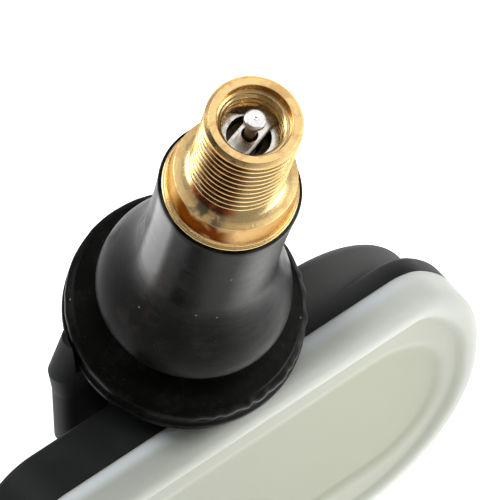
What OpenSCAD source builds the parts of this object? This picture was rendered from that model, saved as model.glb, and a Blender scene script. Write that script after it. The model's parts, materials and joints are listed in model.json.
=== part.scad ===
// Snap-in tyre pressure sensor: a rubber covered valve stem on a moulded sensor body.
// The body stands on its flat long side. X runs along the body and Z points up, away from
// that side. The milky cover faces -Y, and the stem leans towards it.
// Sizes along the stem are counted from the widest circle of the rubber flange.

/* [Body] */
// Length of the body along X
body_length = 49.2; // [47:0.1:54]
// Height of the body, from the long side that it stands on to its stem side
body_height = 27.5; // [27:0.5:31]
// Radius of the body's round ends, down to the side that it stands on
end_radius = 14; // [13.5:0.1:14.5]
// Distance along X from a round end's centre to the centre of its blend into the stem side
blend_shift = 6; // [5.5:0.1:6.5]
// Height of the blend's centre above the round end's centre
blend_rise = 6.3; // [6:0.1:6.8]
// Depth of the black housing behind the parting plane
housing_depth = 4.8; // [4.6:0.1:6]
// Thickness of the housing's walls
housing_wall = 1.2; // [0.9:0.1:1.4]
// Depth of the collar of the housing that follows the cover's outline
collar_depth = 1.9; // [1.7:0.1:2.4]
// Radius of the collar's rounded back edge
collar_edge_radius = 0.5; // [0.3:0.1:0.8]
// Radius of the rounded back edge behind the collar
back_edge_radius = 0.5; // [0.3:0.1:1]

/* [Battery dome] */
// Distance from the round dome's wall to the body's right end
dome_margin = 1.1; // [0.6:0.1:2]
// How far the dome stands behind the rest of the housing
dome_rise = 1.6; // [1.2:0.1:2.2]
// Radius of the dome's rounded back edge
dome_edge_radius = 1.2; // [0.8:0.1:1.6]

/* [Cover] */
// Depth of the milky cover in front of the parting plane
cover_depth = 3.6; // [3.4:0.1:4.4]
// Radius of the cover's outer edge
cover_edge_radius = 1.4; // [0.8:0.1:1.5]
// Width of the raised rim round the cover's face
rim_width = 1.9; // [1.7:0.1:2.2]
// Depth of the cover's face behind the rim
rim_step = 0.5; // [0.2:0.05:0.6]
// Distance from the round ends to the sunk panel over the board
panel_end_margin = 4.4; // [4:0.1:5]
// Distance from the stem side to that panel
panel_top_margin = 5.1; // [4:0.1:6]
// Distance from the side that the body stands on to that panel
panel_foot_margin = 6; // [5:0.1:7]
// Radius of the panel's corners
panel_corner = 7.5; // [6:0.1:8]
// Depth of the panel below the face round it
panel_step = 0.3; // [0.15:0.05:0.4]
// Thickness of the cover's panel
cover_wall = 1.3; // [0.9:0.1:1.4]
// Depth of the lip that plugs into the housing
lip_depth = 0.8; // [0.4:0.1:0.9]
// Thickness of that lip
lip_wall = 0.8; // [0.6:0.1:0.9]
// Clearance round the lip
lip_clearance = 0.1; // [0.05:0.01:0.2]

/* [Stem place] */
// Lean of the stem towards the cover
stem_tilt = 14; // [12:0.5:16]
// Place of the flange's centre behind the middle of the housing
stem_y = 3.1; // [2.6:0.1:3.6]
// Height of the flange's centre above the stem side of the body
stem_rise = 5.5; // [5.3:0.1:6.5]
// Distance from the flange's widest circle to the mouth
stem_length = 37.1; // [36:0.1:40]

/* [Rubber] */
// Radius of the base flange
flange_radius = 10.05; // [9.6:0.05:10.3]
// Thickness of the flange below its widest circle
flange_drop = 2.4; // [2.1:0.1:2.6]
// Radius of the groove that grips the rim
groove_radius = 5.9; // [5.6:0.1:6.2]
// Lower end of that groove
groove_start = 1.3; // [1.1:0.1:1.6]
// Width of that groove
groove_width = 2.1; // [1.8:0.1:2.6]
// Radius of the bulb above the groove
bulb_radius = 8.03; // [7.6:0.05:8.4]
// Radius of the rubber's waist
waist_radius = 5.6; // [5.5:0.05:5.9]
// Length from the bulb to the waist
bulb_to_waist = 8.8; // [7.5:0.1:10]
// Thickness of the rubber lip round the brass
rubber_lip = 0.26; // [0.2:0.01:0.4]

/* [Brass stem] */
// Outer radius of the cap thread
thread_radius = 3.85; // [3.7:0.05:3.95]
// Length of the cap thread
thread_length = 8.35; // [7.5:0.05:9]
// Width of the flat lip round the mouth
mouth_lip = 0.58; // [0.4:0.02:0.7]
// Radius of the mouth
mouth_radius = 2.92; // [2.85:0.01:3]
// Radius of the shoulder's sharp upper edge
shoulder_radius = 4.87; // [4.6:0.01:5]
// Radius of the brass lip at the shoulder's foot
brass_lip_radius = 5.42; // [5.25:0.01:5.5]
// Height of the shoulder's wall
shoulder_height = 3.1; // [2.6:0.1:3.4]
// Radius of the shank inside the rubber
shank_radius = 3.3; // [3:0.05:3.4]
// Radius of the disc that anchors the rubber's base
anchor_radius = 5.2; // [4.6:0.1:5.4]
// Radius of the narrow air bore and of the screw's thread hole
air_bore_radius = 1.5; // [1.3:0.05:1.6]
// Room left below the pressed pin in the wide valve chamber
chamber_spare = 1.7; // [1.2:0.1:3]
// How far the foot stands below the flange's widest circle
foot_drop = 7.5; // [7:0.1:8]

/* [Valve core] */
// Radius of the chamber's thread
core_thread_radius = 2.72; // [2.65:0.01:2.8]
// Running clearance of the core's plug in that thread
core_clearance = 0.08; // [0.03:0.01:0.1]
// Depth of the plug's rim below the mouth
plug_depth = 3; // [2.8:0.1:3.4]
// Length of the plug
plug_length = 3.4; // [3:0.1:3.8]
// Width of the bridge across the plug
bridge_width = 1.9; // [1.7:0.05:2.1]
// How far the bridge stands above the plug's rim
bridge_rise = 0.4; // [0.2:0.05:0.6]
// Radius of the hole in the bridge
bridge_hole = 0.65; // [0.6:0.01:0.7]
// Turn of the bridge about the stem
bridge_turn = 106; // [0:1:179]
// Radius of the pin's head
pin_head_radius = 0.825; // [0.7:0.025:0.9]
// Radius of the pin
pin_radius = 0.46; // [0.4:0.01:0.5]
// Height of the pin's head above the mouth, less than nothing where it lies inside
pin_rise = 0.35; // [-0.3:0.05:0.5]
// Travel of the pin when it is pressed
pin_travel = 1.4; // [1:0.1:1.6]
// Wire radius of the core's spring
spring_wire = 0.13; // [0.1:0.01:0.15]
// Turns of the core's spring
spring_turns = 8; // [6:1:9]

/* [Saddle] */
// Half width of the ears beside the flange
ear_reach = 11.6; // [11.5:0.1:12.2]
// Thickness of the ears
ear_thickness = 2.6; // [2.2:0.1:3]
// Distance from the stem's place to the middle of the ears along Y
ear_setback = 2.7; // [2.4:0.1:3.2]
// Lowest point of the ears below the stem side of the body
ear_drop = 7; // [6:0.5:8]
// Height of the ears' upright part above their lowest point
ear_height = 7; // [6:0.1:8]
// Height of the ears' outer corner above that part
ear_corner = 2.6; // [2.2:0.1:3]
// Height of the ears' crest above that corner
ear_crest = 3.5; // [3:0.1:4]
// Height of the saddle's wall above the stem side of the body
saddle_rise = 2.6; // [2.2:0.1:3]
// Clearance between the flange and the ears
flange_clearance = 0.3; // [0.2:0.05:0.4]
// Wall round the socket of the brass foot
socket_wall = 1.3; // [1:0.1:1.6]
// Clearance round the brass foot
foot_clearance = 0.08; // [0.04:0.01:0.12]
// Thickness of the floor that the screw clamps
saddle_floor = 2.2; // [1.8:0.1:2.6]

/* [Screw] */
// Radius of the screw's thread
screw_radius = 1.44; // [1.25:0.01:1.45]
// Length of the screw below its head
screw_length = 4.5; // [4:0.1:4.8]
// Radius of the screw's head
screw_head_radius = 2.5; // [2.3:0.1:2.8]
// Room for the driver round the screw's head
driver_clearance = 0.3; // [0.2:0.05:0.5]
// Height of the screw's head
screw_head_height = 1.7; // [1.4:0.1:2]
// Depth of the driver recess
recess_depth = 1; // [0.7:0.1:1.2]

/* [Electronics] */
// Radius of the battery
battery_radius = 10; // [9.5:0.1:10.2]
// Thickness of the battery
battery_height = 3.2; // [3:0.1:3.3]
// Width of the step round the battery's cap
battery_step = 1.2; // [1:0.1:1.4]
// Depth of that step
battery_step_depth = 0.5; // [0.4:0.05:0.6]
// Clearance between the battery and the dome's wall
battery_clearance = 1.6; // [1.3:0.1:1.9]
// Thickness of the circuit board
board_thickness = 0.8; // [0.6:0.1:0.9]
// Gap between the cover's lip and the board's edge
board_gap = 0.3; // [0.2:0.05:0.5]
// Distance from the body's left end to the two posts that carry the board
post_setback = 7; // [6:0.5:8]
// Gap between the posts and the pressure chip
post_gap = 1.4; // [0.8:0.1:2]
// Radius of the posts
post_radius = 1.1; // [1:0.05:1.2]
// Radius of the pegs on the posts
peg_radius = 0.7; // [0.6:0.05:0.8]
// Clearance of the pegs in the board
peg_clearance = 0.1; // [0.05:0.01:0.15]
// Side of the pressure chip
chip_side = 6; // [5:0.5:6.5]
// Distance from the body's left end to the pressure chip's centre
chip_setback = 9; // [8.5:0.5:10]
// Radius of the pressure port in the housing
port_radius = 0.9; // [0.6:0.1:1]
// Thickness of the filter behind the port
filter_thickness = 0.3; // [0.2:0.05:0.4]
// Thickness of the gasket between the filter and the chip
gasket_thickness = 0.6; // [0.4:0.1:0.8]
// Wire radius of the antenna
antenna_wire = 0.35; // [0.25:0.05:0.4]
// Length of the antenna
antenna_length = 24; // [20:1:26]
// Distance from the antenna to the side that the body stands on
antenna_margin = 4.4; // [4:0.2:5]
// Distance from the stem to the wake-up coil, to the left
coil_offset = 9; // [8:0.5:9.5]
// Distance from the coil to the stem side
coil_margin = 7.7; // [7:0.1:8.5]
// Length of the coil's bar
coil_length = 6; // [5:0.5:7]
// Distance from the antenna to the row of capacitors
capacitor_gap = 4.4; // [3.5:0.1:5]
// Length of a capacitor
capacitor_length = 1.6; // [1.4:0.1:2]
// Distance from the capacitors to the crystal
crystal_gap = 3.2; // [2:0.1:4]
// Width of the crystal's base plate
crystal_width = 2.5; // [2:0.1:3]
// Thickness of the battery's spot welded tabs
tab_thickness = 0.2; // [0.15:0.01:0.25]

/* [Hidden] */
$fn = 96;
// A cut runs this far past the face that it opens
cut = 0.5;
// Two solids of one piece share at least this much
bond = 0.4;
// A wedge's two sides are this many times as long as the directions that it gets
far = 60;
// The cover's plate and lip reach this far into its swept wall
cover_bond = 0.1;
// Play between the rubber and the brass that it is moulded on
moulded_play = 0.02;
// Play between the battery and the dome's floor
battery_play = 0.02;
// Play between the pin and the cup that is staked on it
pin_play = 0.01;

// Levels through the body, counted towards the cover from the middle of the housing
parting = housing_depth / 2;
back_face = -housing_depth / 2;
back_floor = back_face + housing_wall;
dome_face = back_face - dome_rise;
dome_floor = dome_face + housing_wall;
battery_seat = dome_floor + battery_play;
collar_back = parting - collar_depth;
board_level = parting - 1;
board_top = board_level + board_thickness;
cover_face = parting + cover_depth;
sunk_face = cover_face - rim_step;
panel_level = sunk_face - panel_step;
cover_ceiling = panel_level - cover_wall;
half_length = body_length / 2;
dome_radius = battery_radius + battery_clearance + housing_wall;
dome_offset = half_length - dome_margin - dome_radius;
dome_height = body_height - dome_radius;
chip_x = chip_setback - half_length;
post_x = post_setback - half_length;

// Centres of the round ends, of their blends into the stem side and of their lower corners
blend_place = [blend_shift, blend_rise];
blend_radius = end_radius - norm(blend_place);
end_x = half_length - end_radius;
blend_x = end_x + blend_shift;
blend_z = body_height - blend_radius;
end_z = blend_z - blend_rise;
foot_corner = min(end_radius, end_z - bond);
foot_x = half_length - foot_corner;
lip_inset = housing_wall + lip_clearance;
cover_side_wall = lip_inset + lip_wall;
board_inset = cover_side_wall + board_gap;

// Heights along the stem
seat_gap = 0.05;
seat = -flange_drop - seat_gap;
foot = -foot_drop;
socket_bottom = foot - 2 * seat_gap;
saddle_bottom = socket_bottom - saddle_floor;
tip = stem_length;
chamfer = thread_radius - mouth_radius - mouth_lip;
thread_top = tip - chamfer;
thread_bottom = thread_top - thread_length;
thread_run_out = 0.25;
relief_width = 0.6;
relief_depth = 0.45;
relief_radius = thread_radius - relief_depth;
shoulder_slope = 0.5;
shoulder_flare = 0.18;
shoulder_round = 0.35;
shoulder_top = thread_bottom - relief_width - shoulder_slope;
brass_lip_top = shoulder_top - shoulder_height + 0.45;
brass_lip_height = 0.8;
lip_bead = 0.25;
brass_lip_foot = brass_lip_top - brass_lip_height;
shank_cone = 2.4;
anchor_top = 0.2;
anchor_bottom = -0.9;
anchor_slope = 0.4;
cross_hole_radius = 0.8;
rubber_top = brass_lip_top - lip_bead;
rubber_top_radius = brass_lip_radius + rubber_lip;
bulb_rise = 0.7;
bulb_level = groove_start + groove_width + bulb_rise;
waist_level = bulb_level + bulb_to_waist;

// Depths inside the valve, below the mouth
counterbore = 0.8;
bridge_depth = plug_depth - bridge_rise;
bridge_thickness = 0.9;
bridge_under = bridge_depth + bridge_thickness;
plug_end = plug_depth + plug_length;
barrel_gap = 0.5;
barrel_start = bridge_under + barrel_gap;
barrel_flange = 0.5;
barrel_flange_end = plug_end + barrel_flange;
seal_height = 2.3;
barrel_seal_end = barrel_flange_end + seal_height;
stop_gap = 0.3;
stop_depth = barrel_start + stop_gap;
stop_length = 0.5;
wing_width = 1.24;
wing_play = 0.06;
spring_play = 0.02;
spring_spare = 1.26;
spring_room = 2 * spring_wire * (spring_turns + 1) + pin_travel + spring_spare;
web_level = stop_depth + stop_length + spring_room;
barrel_web = 0.9;
barrel_end = web_level + barrel_web;
thread_end = barrel_flange_end + 0.3;
taper_end = barrel_seal_end + 0.1;
cup_depth = barrel_end + 0.03;
cup_length = 1.35;
cup_rim = 0.35;
staked_end = 0.3;
pin_end = cup_depth + cup_length + staked_end;
chamber_depth = pin_end + pin_travel + chamber_spare;
chamber_radius = 2.15;
plug_radius = core_thread_radius - core_clearance;
plug_bore = 1.75;
spigot_radius = plug_bore - 0.08;
barrel_bore = 1.15;
barrel_radius = 1.9;
seal_seat_radius = 1.55;
web_hole = 0.75;
spring_radius = 0.8;
cup_radius = 1.75;
cup_seal_radius = 1.45;
cup_seal_thickness = 0.8;
socket_radius = shank_radius + foot_clearance;

// The wake-up coil's bar, its height above the board, and the winding's wall and play round it
coil_bar = [coil_length, 1.2, 0.8];
coil_bar_rise = 0.25;
coil_wall = 0.4;
coil_play = 0.01;

// Turns the flat drawing of the body, with the cover on top, so that it stands on its long side
module upright() rotate([90, 0, 0]) children();

// Puts its children on the stem's axis, with Z along the stem
module on_stem() translate([0, stem_y, body_height + stem_rise]) rotate([stem_tilt, 0, 0]) children();

// Same, with Z counted down from the mouth
module below_mouth() on_stem() translate([0, 0, tip]) mirror([0, 0, 1]) children();

// The corner between two directions, which reaches past everything that it picks out
module wedge(from, to) polygon([[0, 0], far * from, far * to]);

// The part of a disc between two directions
module sector(r, from, to) {
    intersection() {
        circle(r = r);
        wedge(from, to);
    }
}

// A band across the body with its two outer corners rounded
module corner_band(half, r) {
    intersection() {
        union() {
            for (side = [-1, 1]) translate([side * (half - r), 0]) circle(r = r);
            translate([r - half, 0]) square([2 * (half - r), r]);
        }
        translate([-half, 0]) square([2 * half, r]);
    }
}

// The body's outline, drawn in by inset all round
module body_outline(inset = 0) {
    half = half_length - inset;
    top_z = body_height - inset;
    for (side = [0, 1]) mirror([side, 0]) {
        translate([end_x, end_z]) sector(end_radius - inset, [1, 0], blend_place);
        translate([blend_x, blend_z]) sector(blend_radius - inset, blend_place, [0, 1]);
    }
    polygon([[-end_x, end_z], [end_x, end_z], [blend_x, blend_z], [blend_x, top_z], [-blend_x, top_z],
        [-blend_x, blend_z]]);
    translate([0, foot_corner]) mirror([0, 1]) corner_band(half, foot_corner - inset);
    translate([-half, foot_corner]) square([2 * half, end_z - foot_corner]);
}

// The outline of the sunk panel in the cover's face
module panel_outline() {
    half = half_length - panel_end_margin;
    top_z = body_height - panel_top_margin - panel_corner;
    foot_z = panel_foot_margin + panel_corner;
    translate([0, top_z]) corner_band(half, panel_corner);
    translate([0, foot_z]) mirror([0, 1]) corner_band(half, panel_corner);
    translate([-half, foot_z - bond]) square([2 * half, top_z - foot_z + 2 * bond]);
}

// What rounding takes off a profile's corner at the origin, where the profile fills the quadrant
// below and to the left
module round_off(r) {
    difference() {
        translate([-r, -r]) square(r + cut);
        translate([-r, -r]) circle(r = r);
    }
}

// Turns a profile about one of the outline's centres, between two directions
module corner_sweep(x, z, r, from, to) {
    intersection() {
        translate([x, z, 0]) rotate_extrude() translate([r, 0]) children();
        translate([x, z, -far / 2]) linear_extrude(far) wedge(from, to);
    }
}

// Sweeps a profile round the body's outline: u = 0 lies on the outline and u grows outwards
module sweep_outline() {
    for (side = [0, 1]) mirror([side, 0, 0]) {
        corner_sweep(blend_x, blend_z, blend_radius, blend_place, [0, 1]) children();
        corner_sweep(end_x, end_z, end_radius, [1, 0], blend_place) children();
        corner_sweep(foot_x, foot_corner, foot_corner, [0, -1], [1, 0]) children();
        translate([half_length, end_z, 0]) rotate([90, 0, 0])
            linear_extrude(end_z - foot_corner) children();
    }
    translate([-blend_x, body_height, 0]) rotate([90, 0, 90]) linear_extrude(2 * blend_x) children();
    translate([foot_x, 0, 0]) rotate([90, 0, -90]) linear_extrude(2 * foot_x) children();
}

// A ring turned from one profile about the stem's axis
module turned(points) rotate_extrude() polygon(points);

// A tube between two levels
module tube(outer, inner, from, to) {
    difference() {
        translate([0, 0, from]) cylinder(r = outer, h = to - from);
        translate([0, 0, from - cut]) cylinder(r = inner, h = to - from + 2 * cut);
    }
}

// The dome's disc, with a rounded back edge
module dome_disc() {
    r = dome_edge_radius;
    translate([dome_offset, dome_height, 0]) rotate_extrude() {
        translate([0, dome_face + r]) square([dome_radius, parting - bond - dome_face - r]);
        translate([0, dome_face]) square([dome_radius - r, r]);
        intersection() {
            translate([dome_radius - r, dome_face + r]) circle(r = r);
            translate([0, dome_face]) square([dome_radius, r]);
        }
    }
}

// A slab with the body's outline between two levels, with its back edge rounded by r
module rounded_slab(back, front, r) {
    translate([0, 0, back]) linear_extrude(front - back) body_outline(r);
    sweep_outline() difference() {
        translate([-r - bond, back]) square([r + bond, front - back]);
        translate([0, back]) mirror([0, 1]) round_off(r);
    }
}

// The flat part of the housing, up to the dome's centre line
module housing_slab() {
    intersection() {
        rounded_slab(back_face, parting - bond, back_edge_radius);
        translate([-half_length - cut, -cut, dome_face - cut])
            cube([half_length + cut + dome_offset, body_height + 2 * cut, housing_depth + dome_rise + cut]);
    }
}

// The room inside the housing
module housing_room() {
    translate([0, 0, board_level]) linear_extrude(parting - board_level + cut) body_outline(housing_wall);
    intersection() {
        translate([0, 0, back_floor]) linear_extrude(parting - back_floor) body_outline(housing_wall);
        translate([-half_length, 0, back_floor - cut])
            cube([half_length + dome_offset - housing_wall, body_height, housing_depth]);
    }
    translate([dome_offset, dome_height, dome_floor])
        cylinder(r = dome_radius - housing_wall, h = parting - dome_floor);
}

// One ear beside the flange: an upright with a round edge and a head that leans in
module ear(side) {
    r = ear_thickness / 2;
    x = side * (ear_reach - r);
    y = stem_y + ear_setback;
    foot_z = body_height - ear_drop;
    head_z = foot_z + ear_height;
    corner_z = head_z + ear_corner;
    crest_z = corner_z + ear_crest;
    bulge = 0.3;
    lean = 1.25;
    inner = 0.6;
    flat = 0.1;
    translate([x, y, foot_z]) cylinder(r = r, h = ear_height);
    hull() {
        translate([x, y, head_z - flat]) cylinder(r = r, h = flat, $fn = 64);
        translate([x + side * bulge, y, corner_z]) cylinder(r = r, h = flat, $fn = 64);
        translate([x - side * lean, y, crest_z]) cylinder(r = r, h = flat, $fn = 64);
        translate([inner * x, y, head_z - flat]) cylinder(r = r, h = ear_corner, $fn = 64);
    }
}

// The saddle that carries the stem: a wall with two ears, a socket for the foot and webs
module saddle() {
    y = stem_y + ear_setback - ear_thickness / 2;
    x = ear_reach - ear_thickness / 2;
    foot_z = body_height - ear_drop;
    web_share = 0.7;
    web_x = web_share * x;
    web_y = -back_face - bond;
    for (side = [-1, 1]) ear(side);
    translate([-x, y, foot_z]) cube([2 * x, ear_thickness, ear_drop + saddle_rise]);
    translate([-web_x, web_y, foot_z]) cube([2 * web_x, y - web_y + bond, ear_drop + saddle_rise]);
    on_stem() translate([0, 0, saddle_bottom])
        cylinder(r = socket_radius + socket_wall, h = seat - saddle_bottom);
}

// What is cut from the saddle: the battery's room, the flange's room, the foot's socket, the screw's
// hole and its driver's way in, and the slot that lets air reach the stem's cross hole
module saddle_cuts() {
    upright() translate([dome_offset, dome_height, dome_floor])
        cylinder(r = battery_radius + battery_clearance / 2, h = parting - dome_floor);
    room = flange_radius + flange_clearance;
    slot = 2 * cross_hole_radius + 2 * seat_gap;
    driver_way = 12;
    on_stem() {
        translate([0, 0, seat]) cylinder(r = room, h = 2 * foot_drop);
        translate([0, 0, socket_bottom]) cylinder(r = socket_radius, h = seat - socket_bottom + cut);
        translate([0, 0, saddle_bottom - cut])
            cylinder(r = screw_radius + 2 * foot_clearance, h = saddle_floor + 2 * cut);
        translate([0, 0, saddle_bottom - driver_way])
            cylinder(r = screw_head_radius + driver_clearance, h = driver_way);
        translate([-slot / 2, 0, -foot_drop / 2 - slot]) cube([slot, driver_way, 2 * slot]);
    }
}

// Puts its children at the two posts under the board's left end
module at_posts() {
    reach = chip_side / 2 + post_gap + post_radius;
    for (side = [-1, 1]) translate([post_x, dome_height + side * reach, 0]) children();
}

// Posts that carry the board's left end, with pegs through the board's holes
module board_posts() {
    at_posts() {
        translate([0, 0, back_floor - bond]) cylinder(r = post_radius, h = board_level - back_floor + bond);
        translate([0, 0, board_level - bond]) cylinder(r = peg_radius, h = board_thickness + 2 * bond);
    }
}

module housing() {
    color([0.1, 0.1, 0.105]) difference() {
        union() {
            upright() {
                difference() {
                    union() {
                        rounded_slab(collar_back, parting, collar_edge_radius);
                        housing_slab();
                        dome_disc();
                    }
                    housing_room();
                }
                board_posts();
            }
            saddle();
        }
        saddle_cuts();
        upright() translate([chip_x, dome_height, back_face - cut])
            cylinder(r = port_radius, h = housing_wall + 2 * cut);
    }
}

// The cover's section at the rim: side wall, rounded rim and the step down to the face
module rim_profile() {
    crown = 0.45;
    foot = cover_side_wall + cover_bond - rim_width;
    difference() {
        translate([-cover_side_wall - cover_bond, parting]) square([cover_side_wall + cover_bond, cover_depth]);
        translate([0, cover_face]) round_off(cover_edge_radius);
        translate([-rim_width - foot - cut, sunk_face]) square([foot + cut, rim_step + cut]);
        translate([-rim_width, cover_face]) mirror([1, 0]) round_off(crown);
    }
}

// The lip that plugs into the housing
module cover_lip() {
    translate([0, 0, parting - lip_depth]) linear_extrude(lip_depth + bond) difference() {
        body_outline(lip_inset);
        body_outline(cover_side_wall);
    }
}

module cover() {
    color([0.86, 0.88, 0.83]) upright() difference() {
        union() {
            sweep_outline() rim_profile();
            cover_lip();
            translate([0, 0, cover_ceiling])
                linear_extrude(sunk_face - cover_ceiling) body_outline(rim_width + cover_bond);
        }
        translate([0, 0, panel_level]) linear_extrude(panel_step + cut) panel_outline();
    }
}

// The rubber's outline: flange with its lower lip, rim groove, bulb, waist and top lip
function flank(t) = waist_radius + (bulb_radius - waist_radius) * (1 + cos(180 * t)) / 2;
function rubber_points() = concat(
    [[shank_radius, -flange_drop], [flange_radius - 0.35, -flange_drop], [flange_radius - 0.02, -flange_drop + 0.3],
        [flange_radius, -flange_drop + 0.75], [flange_radius - 0.3, -flange_drop + 1.15],
        [flange_radius - 0.25, -flange_drop + 1.7], [flange_radius, -0.1], [flange_radius - 0.12, 0.35],
        [flange_radius - 0.6, 0.75], [groove_radius + 0.5, groove_start - 0.1]],
    [[groove_radius, groove_start], [groove_radius, groove_start + groove_width],
        [bulb_radius - 0.75, bulb_level - bulb_rise + 0.2], [bulb_radius - 0.2, bulb_level - 0.3],
        [bulb_radius, bulb_level]],
    [for (i = [1:24]) [flank(i / 24), bulb_level + i / 24 * bulb_to_waist]],
    [for (i = [1:8]) [waist_radius - 0.14 * sin(90 * i / 8) + (rubber_top_radius - waist_radius + 0.14) * pow(i / 8, 3),
        waist_level + i / 8 * (rubber_top - waist_level)]],
    [[brass_lip_radius, rubber_top]]);

// The brass insert's outside, from the lip down to the foot, drawn out by play
function insert_points(play) = [
    [brass_lip_radius + play, brass_lip_top], [brass_lip_radius + play, brass_lip_foot],
    [shank_radius + play, brass_lip_foot - shank_cone], [shank_radius + play, anchor_top + anchor_slope + play],
    [anchor_radius + play, anchor_top + play], [anchor_radius + play, anchor_bottom - play],
    [shank_radius + play, anchor_bottom - anchor_slope - play]];

module rubber_stem() {
    color([0.08, 0.08, 0.08]) on_stem() difference() {
        turned(rubber_points());
        turned(concat([[0, brass_lip_top + cut]], [[brass_lip_radius + moulded_play, brass_lip_top + cut]],
            insert_points(moulded_play), [[shank_radius + moulded_play, -flange_drop - cut]],
            [[0, -flange_drop - cut]]));
    }
}

// The brass stem: lip, collar, shoulder, relief, cap thread, mouth and stepped air bore
module brass_stem() {
    color([0.83, 0.63, 0.3]) on_stem() difference() {
        union() {
            turned(concat(
                [[0, thread_bottom + bond], [relief_radius, thread_bottom + bond],
                    [relief_radius, shoulder_top + shoulder_slope], [shoulder_radius, shoulder_top],
                    [shoulder_radius + 0.9 * shoulder_flare, shoulder_top - 0.45 * shoulder_height],
                    [shoulder_radius + shoulder_flare, brass_lip_top + shoulder_round],
                    [brass_lip_radius - shoulder_round / 3, brass_lip_top + shoulder_round / 3]],
                insert_points(0), [[shank_radius, foot], [0, foot]]));
            translate([0, 0, thread_bottom])
                cylinder(r1 = thread_radius - thread_run_out, r2 = thread_radius, h = thread_run_out);
            translate([0, 0, thread_bottom + thread_run_out])
                cylinder(r = thread_radius, h = thread_length - thread_run_out);
            translate([0, 0, thread_top]) cylinder(r1 = thread_radius, r2 = thread_radius - chamfer, h = chamfer);
        }
        translate([0, 0, tip]) mirror([0, 0, 1]) {
            translate([0, 0, -cut]) cylinder(r = mouth_radius, h = counterbore + cut);
            translate([0, 0, counterbore - 0.01]) cylinder(r = core_thread_radius, h = thread_end - counterbore + 0.01);
            translate([0, 0, thread_end - 0.01])
                cylinder(r1 = core_thread_radius, r2 = chamber_radius, h = taper_end - thread_end + 0.02);
            translate([0, 0, taper_end]) cylinder(r = chamber_radius, h = chamber_depth - taper_end);
            translate([0, 0, chamber_depth - 0.01])
                cylinder(r1 = chamber_radius, r2 = air_bore_radius, h = 0.8);
        }
        translate([0, 0, foot - cut]) cylinder(r = air_bore_radius, h = tip + foot_drop - chamber_depth);
        translate([0, 0, -foot_drop / 2]) rotate([90, 0, 0]) translate([0, 0, -shank_radius - cut])
            cylinder(r = cross_hole_radius, h = 2 * (shank_radius + cut));
    }
}

module core_plug() {
    color([0.75, 0.74, 0.7]) below_mouth() rotate([0, 0, bridge_turn]) difference() {
        union() {
            tube(plug_radius, plug_bore, plug_depth, plug_end);
            intersection() {
                translate([-bridge_width / 2, -plug_radius, bridge_depth])
                    cube([bridge_width, 2 * plug_radius, bridge_thickness]);
                translate([0, 0, bridge_depth - cut]) cylinder(r = plug_radius, h = bridge_thickness + 2 * cut);
            }
        }
        translate([0, 0, bridge_depth - cut]) cylinder(r = bridge_hole, h = bridge_thickness + 2 * cut);
    }
}

module core_barrel() {
    color([0.72, 0.56, 0.3]) below_mouth() difference() {
        union() {
            translate([0, 0, barrel_start]) cylinder(r = spigot_radius, h = plug_end - barrel_start + 0.1);
            translate([0, 0, plug_end + 0.02]) cylinder(r = barrel_radius + 0.1, h = barrel_flange_end - plug_end - 0.02);
            translate([0, 0, barrel_flange_end - 0.1])
                cylinder(r = seal_seat_radius, h = barrel_seal_end - barrel_flange_end + 0.2);
            translate([0, 0, barrel_seal_end]) cylinder(r = barrel_radius, h = barrel_end - barrel_seal_end);
        }
        translate([0, 0, barrel_start - cut]) cylinder(r = barrel_bore, h = web_level - barrel_start + cut);
        translate([0, 0, web_level - cut]) cylinder(r = web_hole, h = barrel_web + 2 * cut);
    }
}

module barrel_seal() {
    top = barrel_flange_end + 0.02;
    height = barrel_seal_end - barrel_flange_end - 0.04;
    color([0.75, 0.2, 0.15]) below_mouth() difference() {
        translate([0, 0, top]) cylinder(r1 = core_thread_radius - 0.25, r2 = chamber_radius - 0.03, h = height);
        translate([0, 0, top - cut]) cylinder(r = seal_seat_radius + 0.01, h = height + 2 * cut);
    }
}

// The pin: head, shank, a stop with two wings that guide it in the barrel, and the staked end
module core_pin() {
    head = 0.55;
    wing = barrel_bore - wing_play;
    color([0.7, 0.66, 0.55]) below_mouth() {
        translate([0, 0, -pin_rise]) cylinder(r = pin_head_radius, h = head);
        translate([0, 0, head / 2 - pin_rise]) cylinder(r = pin_radius, h = pin_end + pin_rise - head / 2);
        intersection() {
            translate([0, 0, stop_depth]) cylinder(r = wing, h = stop_length);
            translate([-wing, -wing_width / 2, stop_depth]) cube([2 * wing, wing_width, stop_length]);
        }
    }
}

// The spring's wire: a helix swept as one tube between the stop and the barrel's web
module core_spring() {
    steps = 14;
    sides = 8;
    top = stop_depth + stop_length + spring_wire + spring_play;
    rise = web_level - spring_wire - spring_play - top;
    rings = spring_turns * steps;
    points = [for (i = [0:rings], k = [0:sides - 1])
        let (a = 360 * i / steps, b = 360 * k / sides, r = spring_radius + spring_wire * cos(b))
        [r * cos(a), r * sin(a), top + rise * i / rings + spring_wire * sin(b)]];
    skin = [for (i = [0:rings - 1], k = [0:sides - 1])
        let (a = i * sides + k, b = i * sides + (k + 1) % sides) [a, b, b + sides, a + sides]];
    ends = [[for (k = [sides - 1:-1:0]) k], [for (k = [0:sides - 1]) rings * sides + k]];
    color([0.8, 0.8, 0.82]) below_mouth() polyhedron(points, concat(skin, ends));
}

module core_cup() {
    rim = cup_depth + cup_rim;
    color([0.8, 0.62, 0.3]) below_mouth() difference() {
        translate([0, 0, rim]) cylinder(r = cup_radius, h = cup_length - cup_rim);
        translate([0, 0, rim - cut])
            cylinder(r = cup_seal_radius + moulded_play, h = cup_seal_thickness - cup_rim + cut + moulded_play);
        translate([0, 0, rim - cut]) cylinder(r = pin_radius + pin_play, h = cup_length + 2 * cut);
    }
}

module cup_seal() {
    color([0.12, 0.12, 0.12]) below_mouth()
        tube(cup_seal_radius, pin_radius + pin_play, cup_depth, cup_depth + cup_seal_thickness);
}

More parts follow.
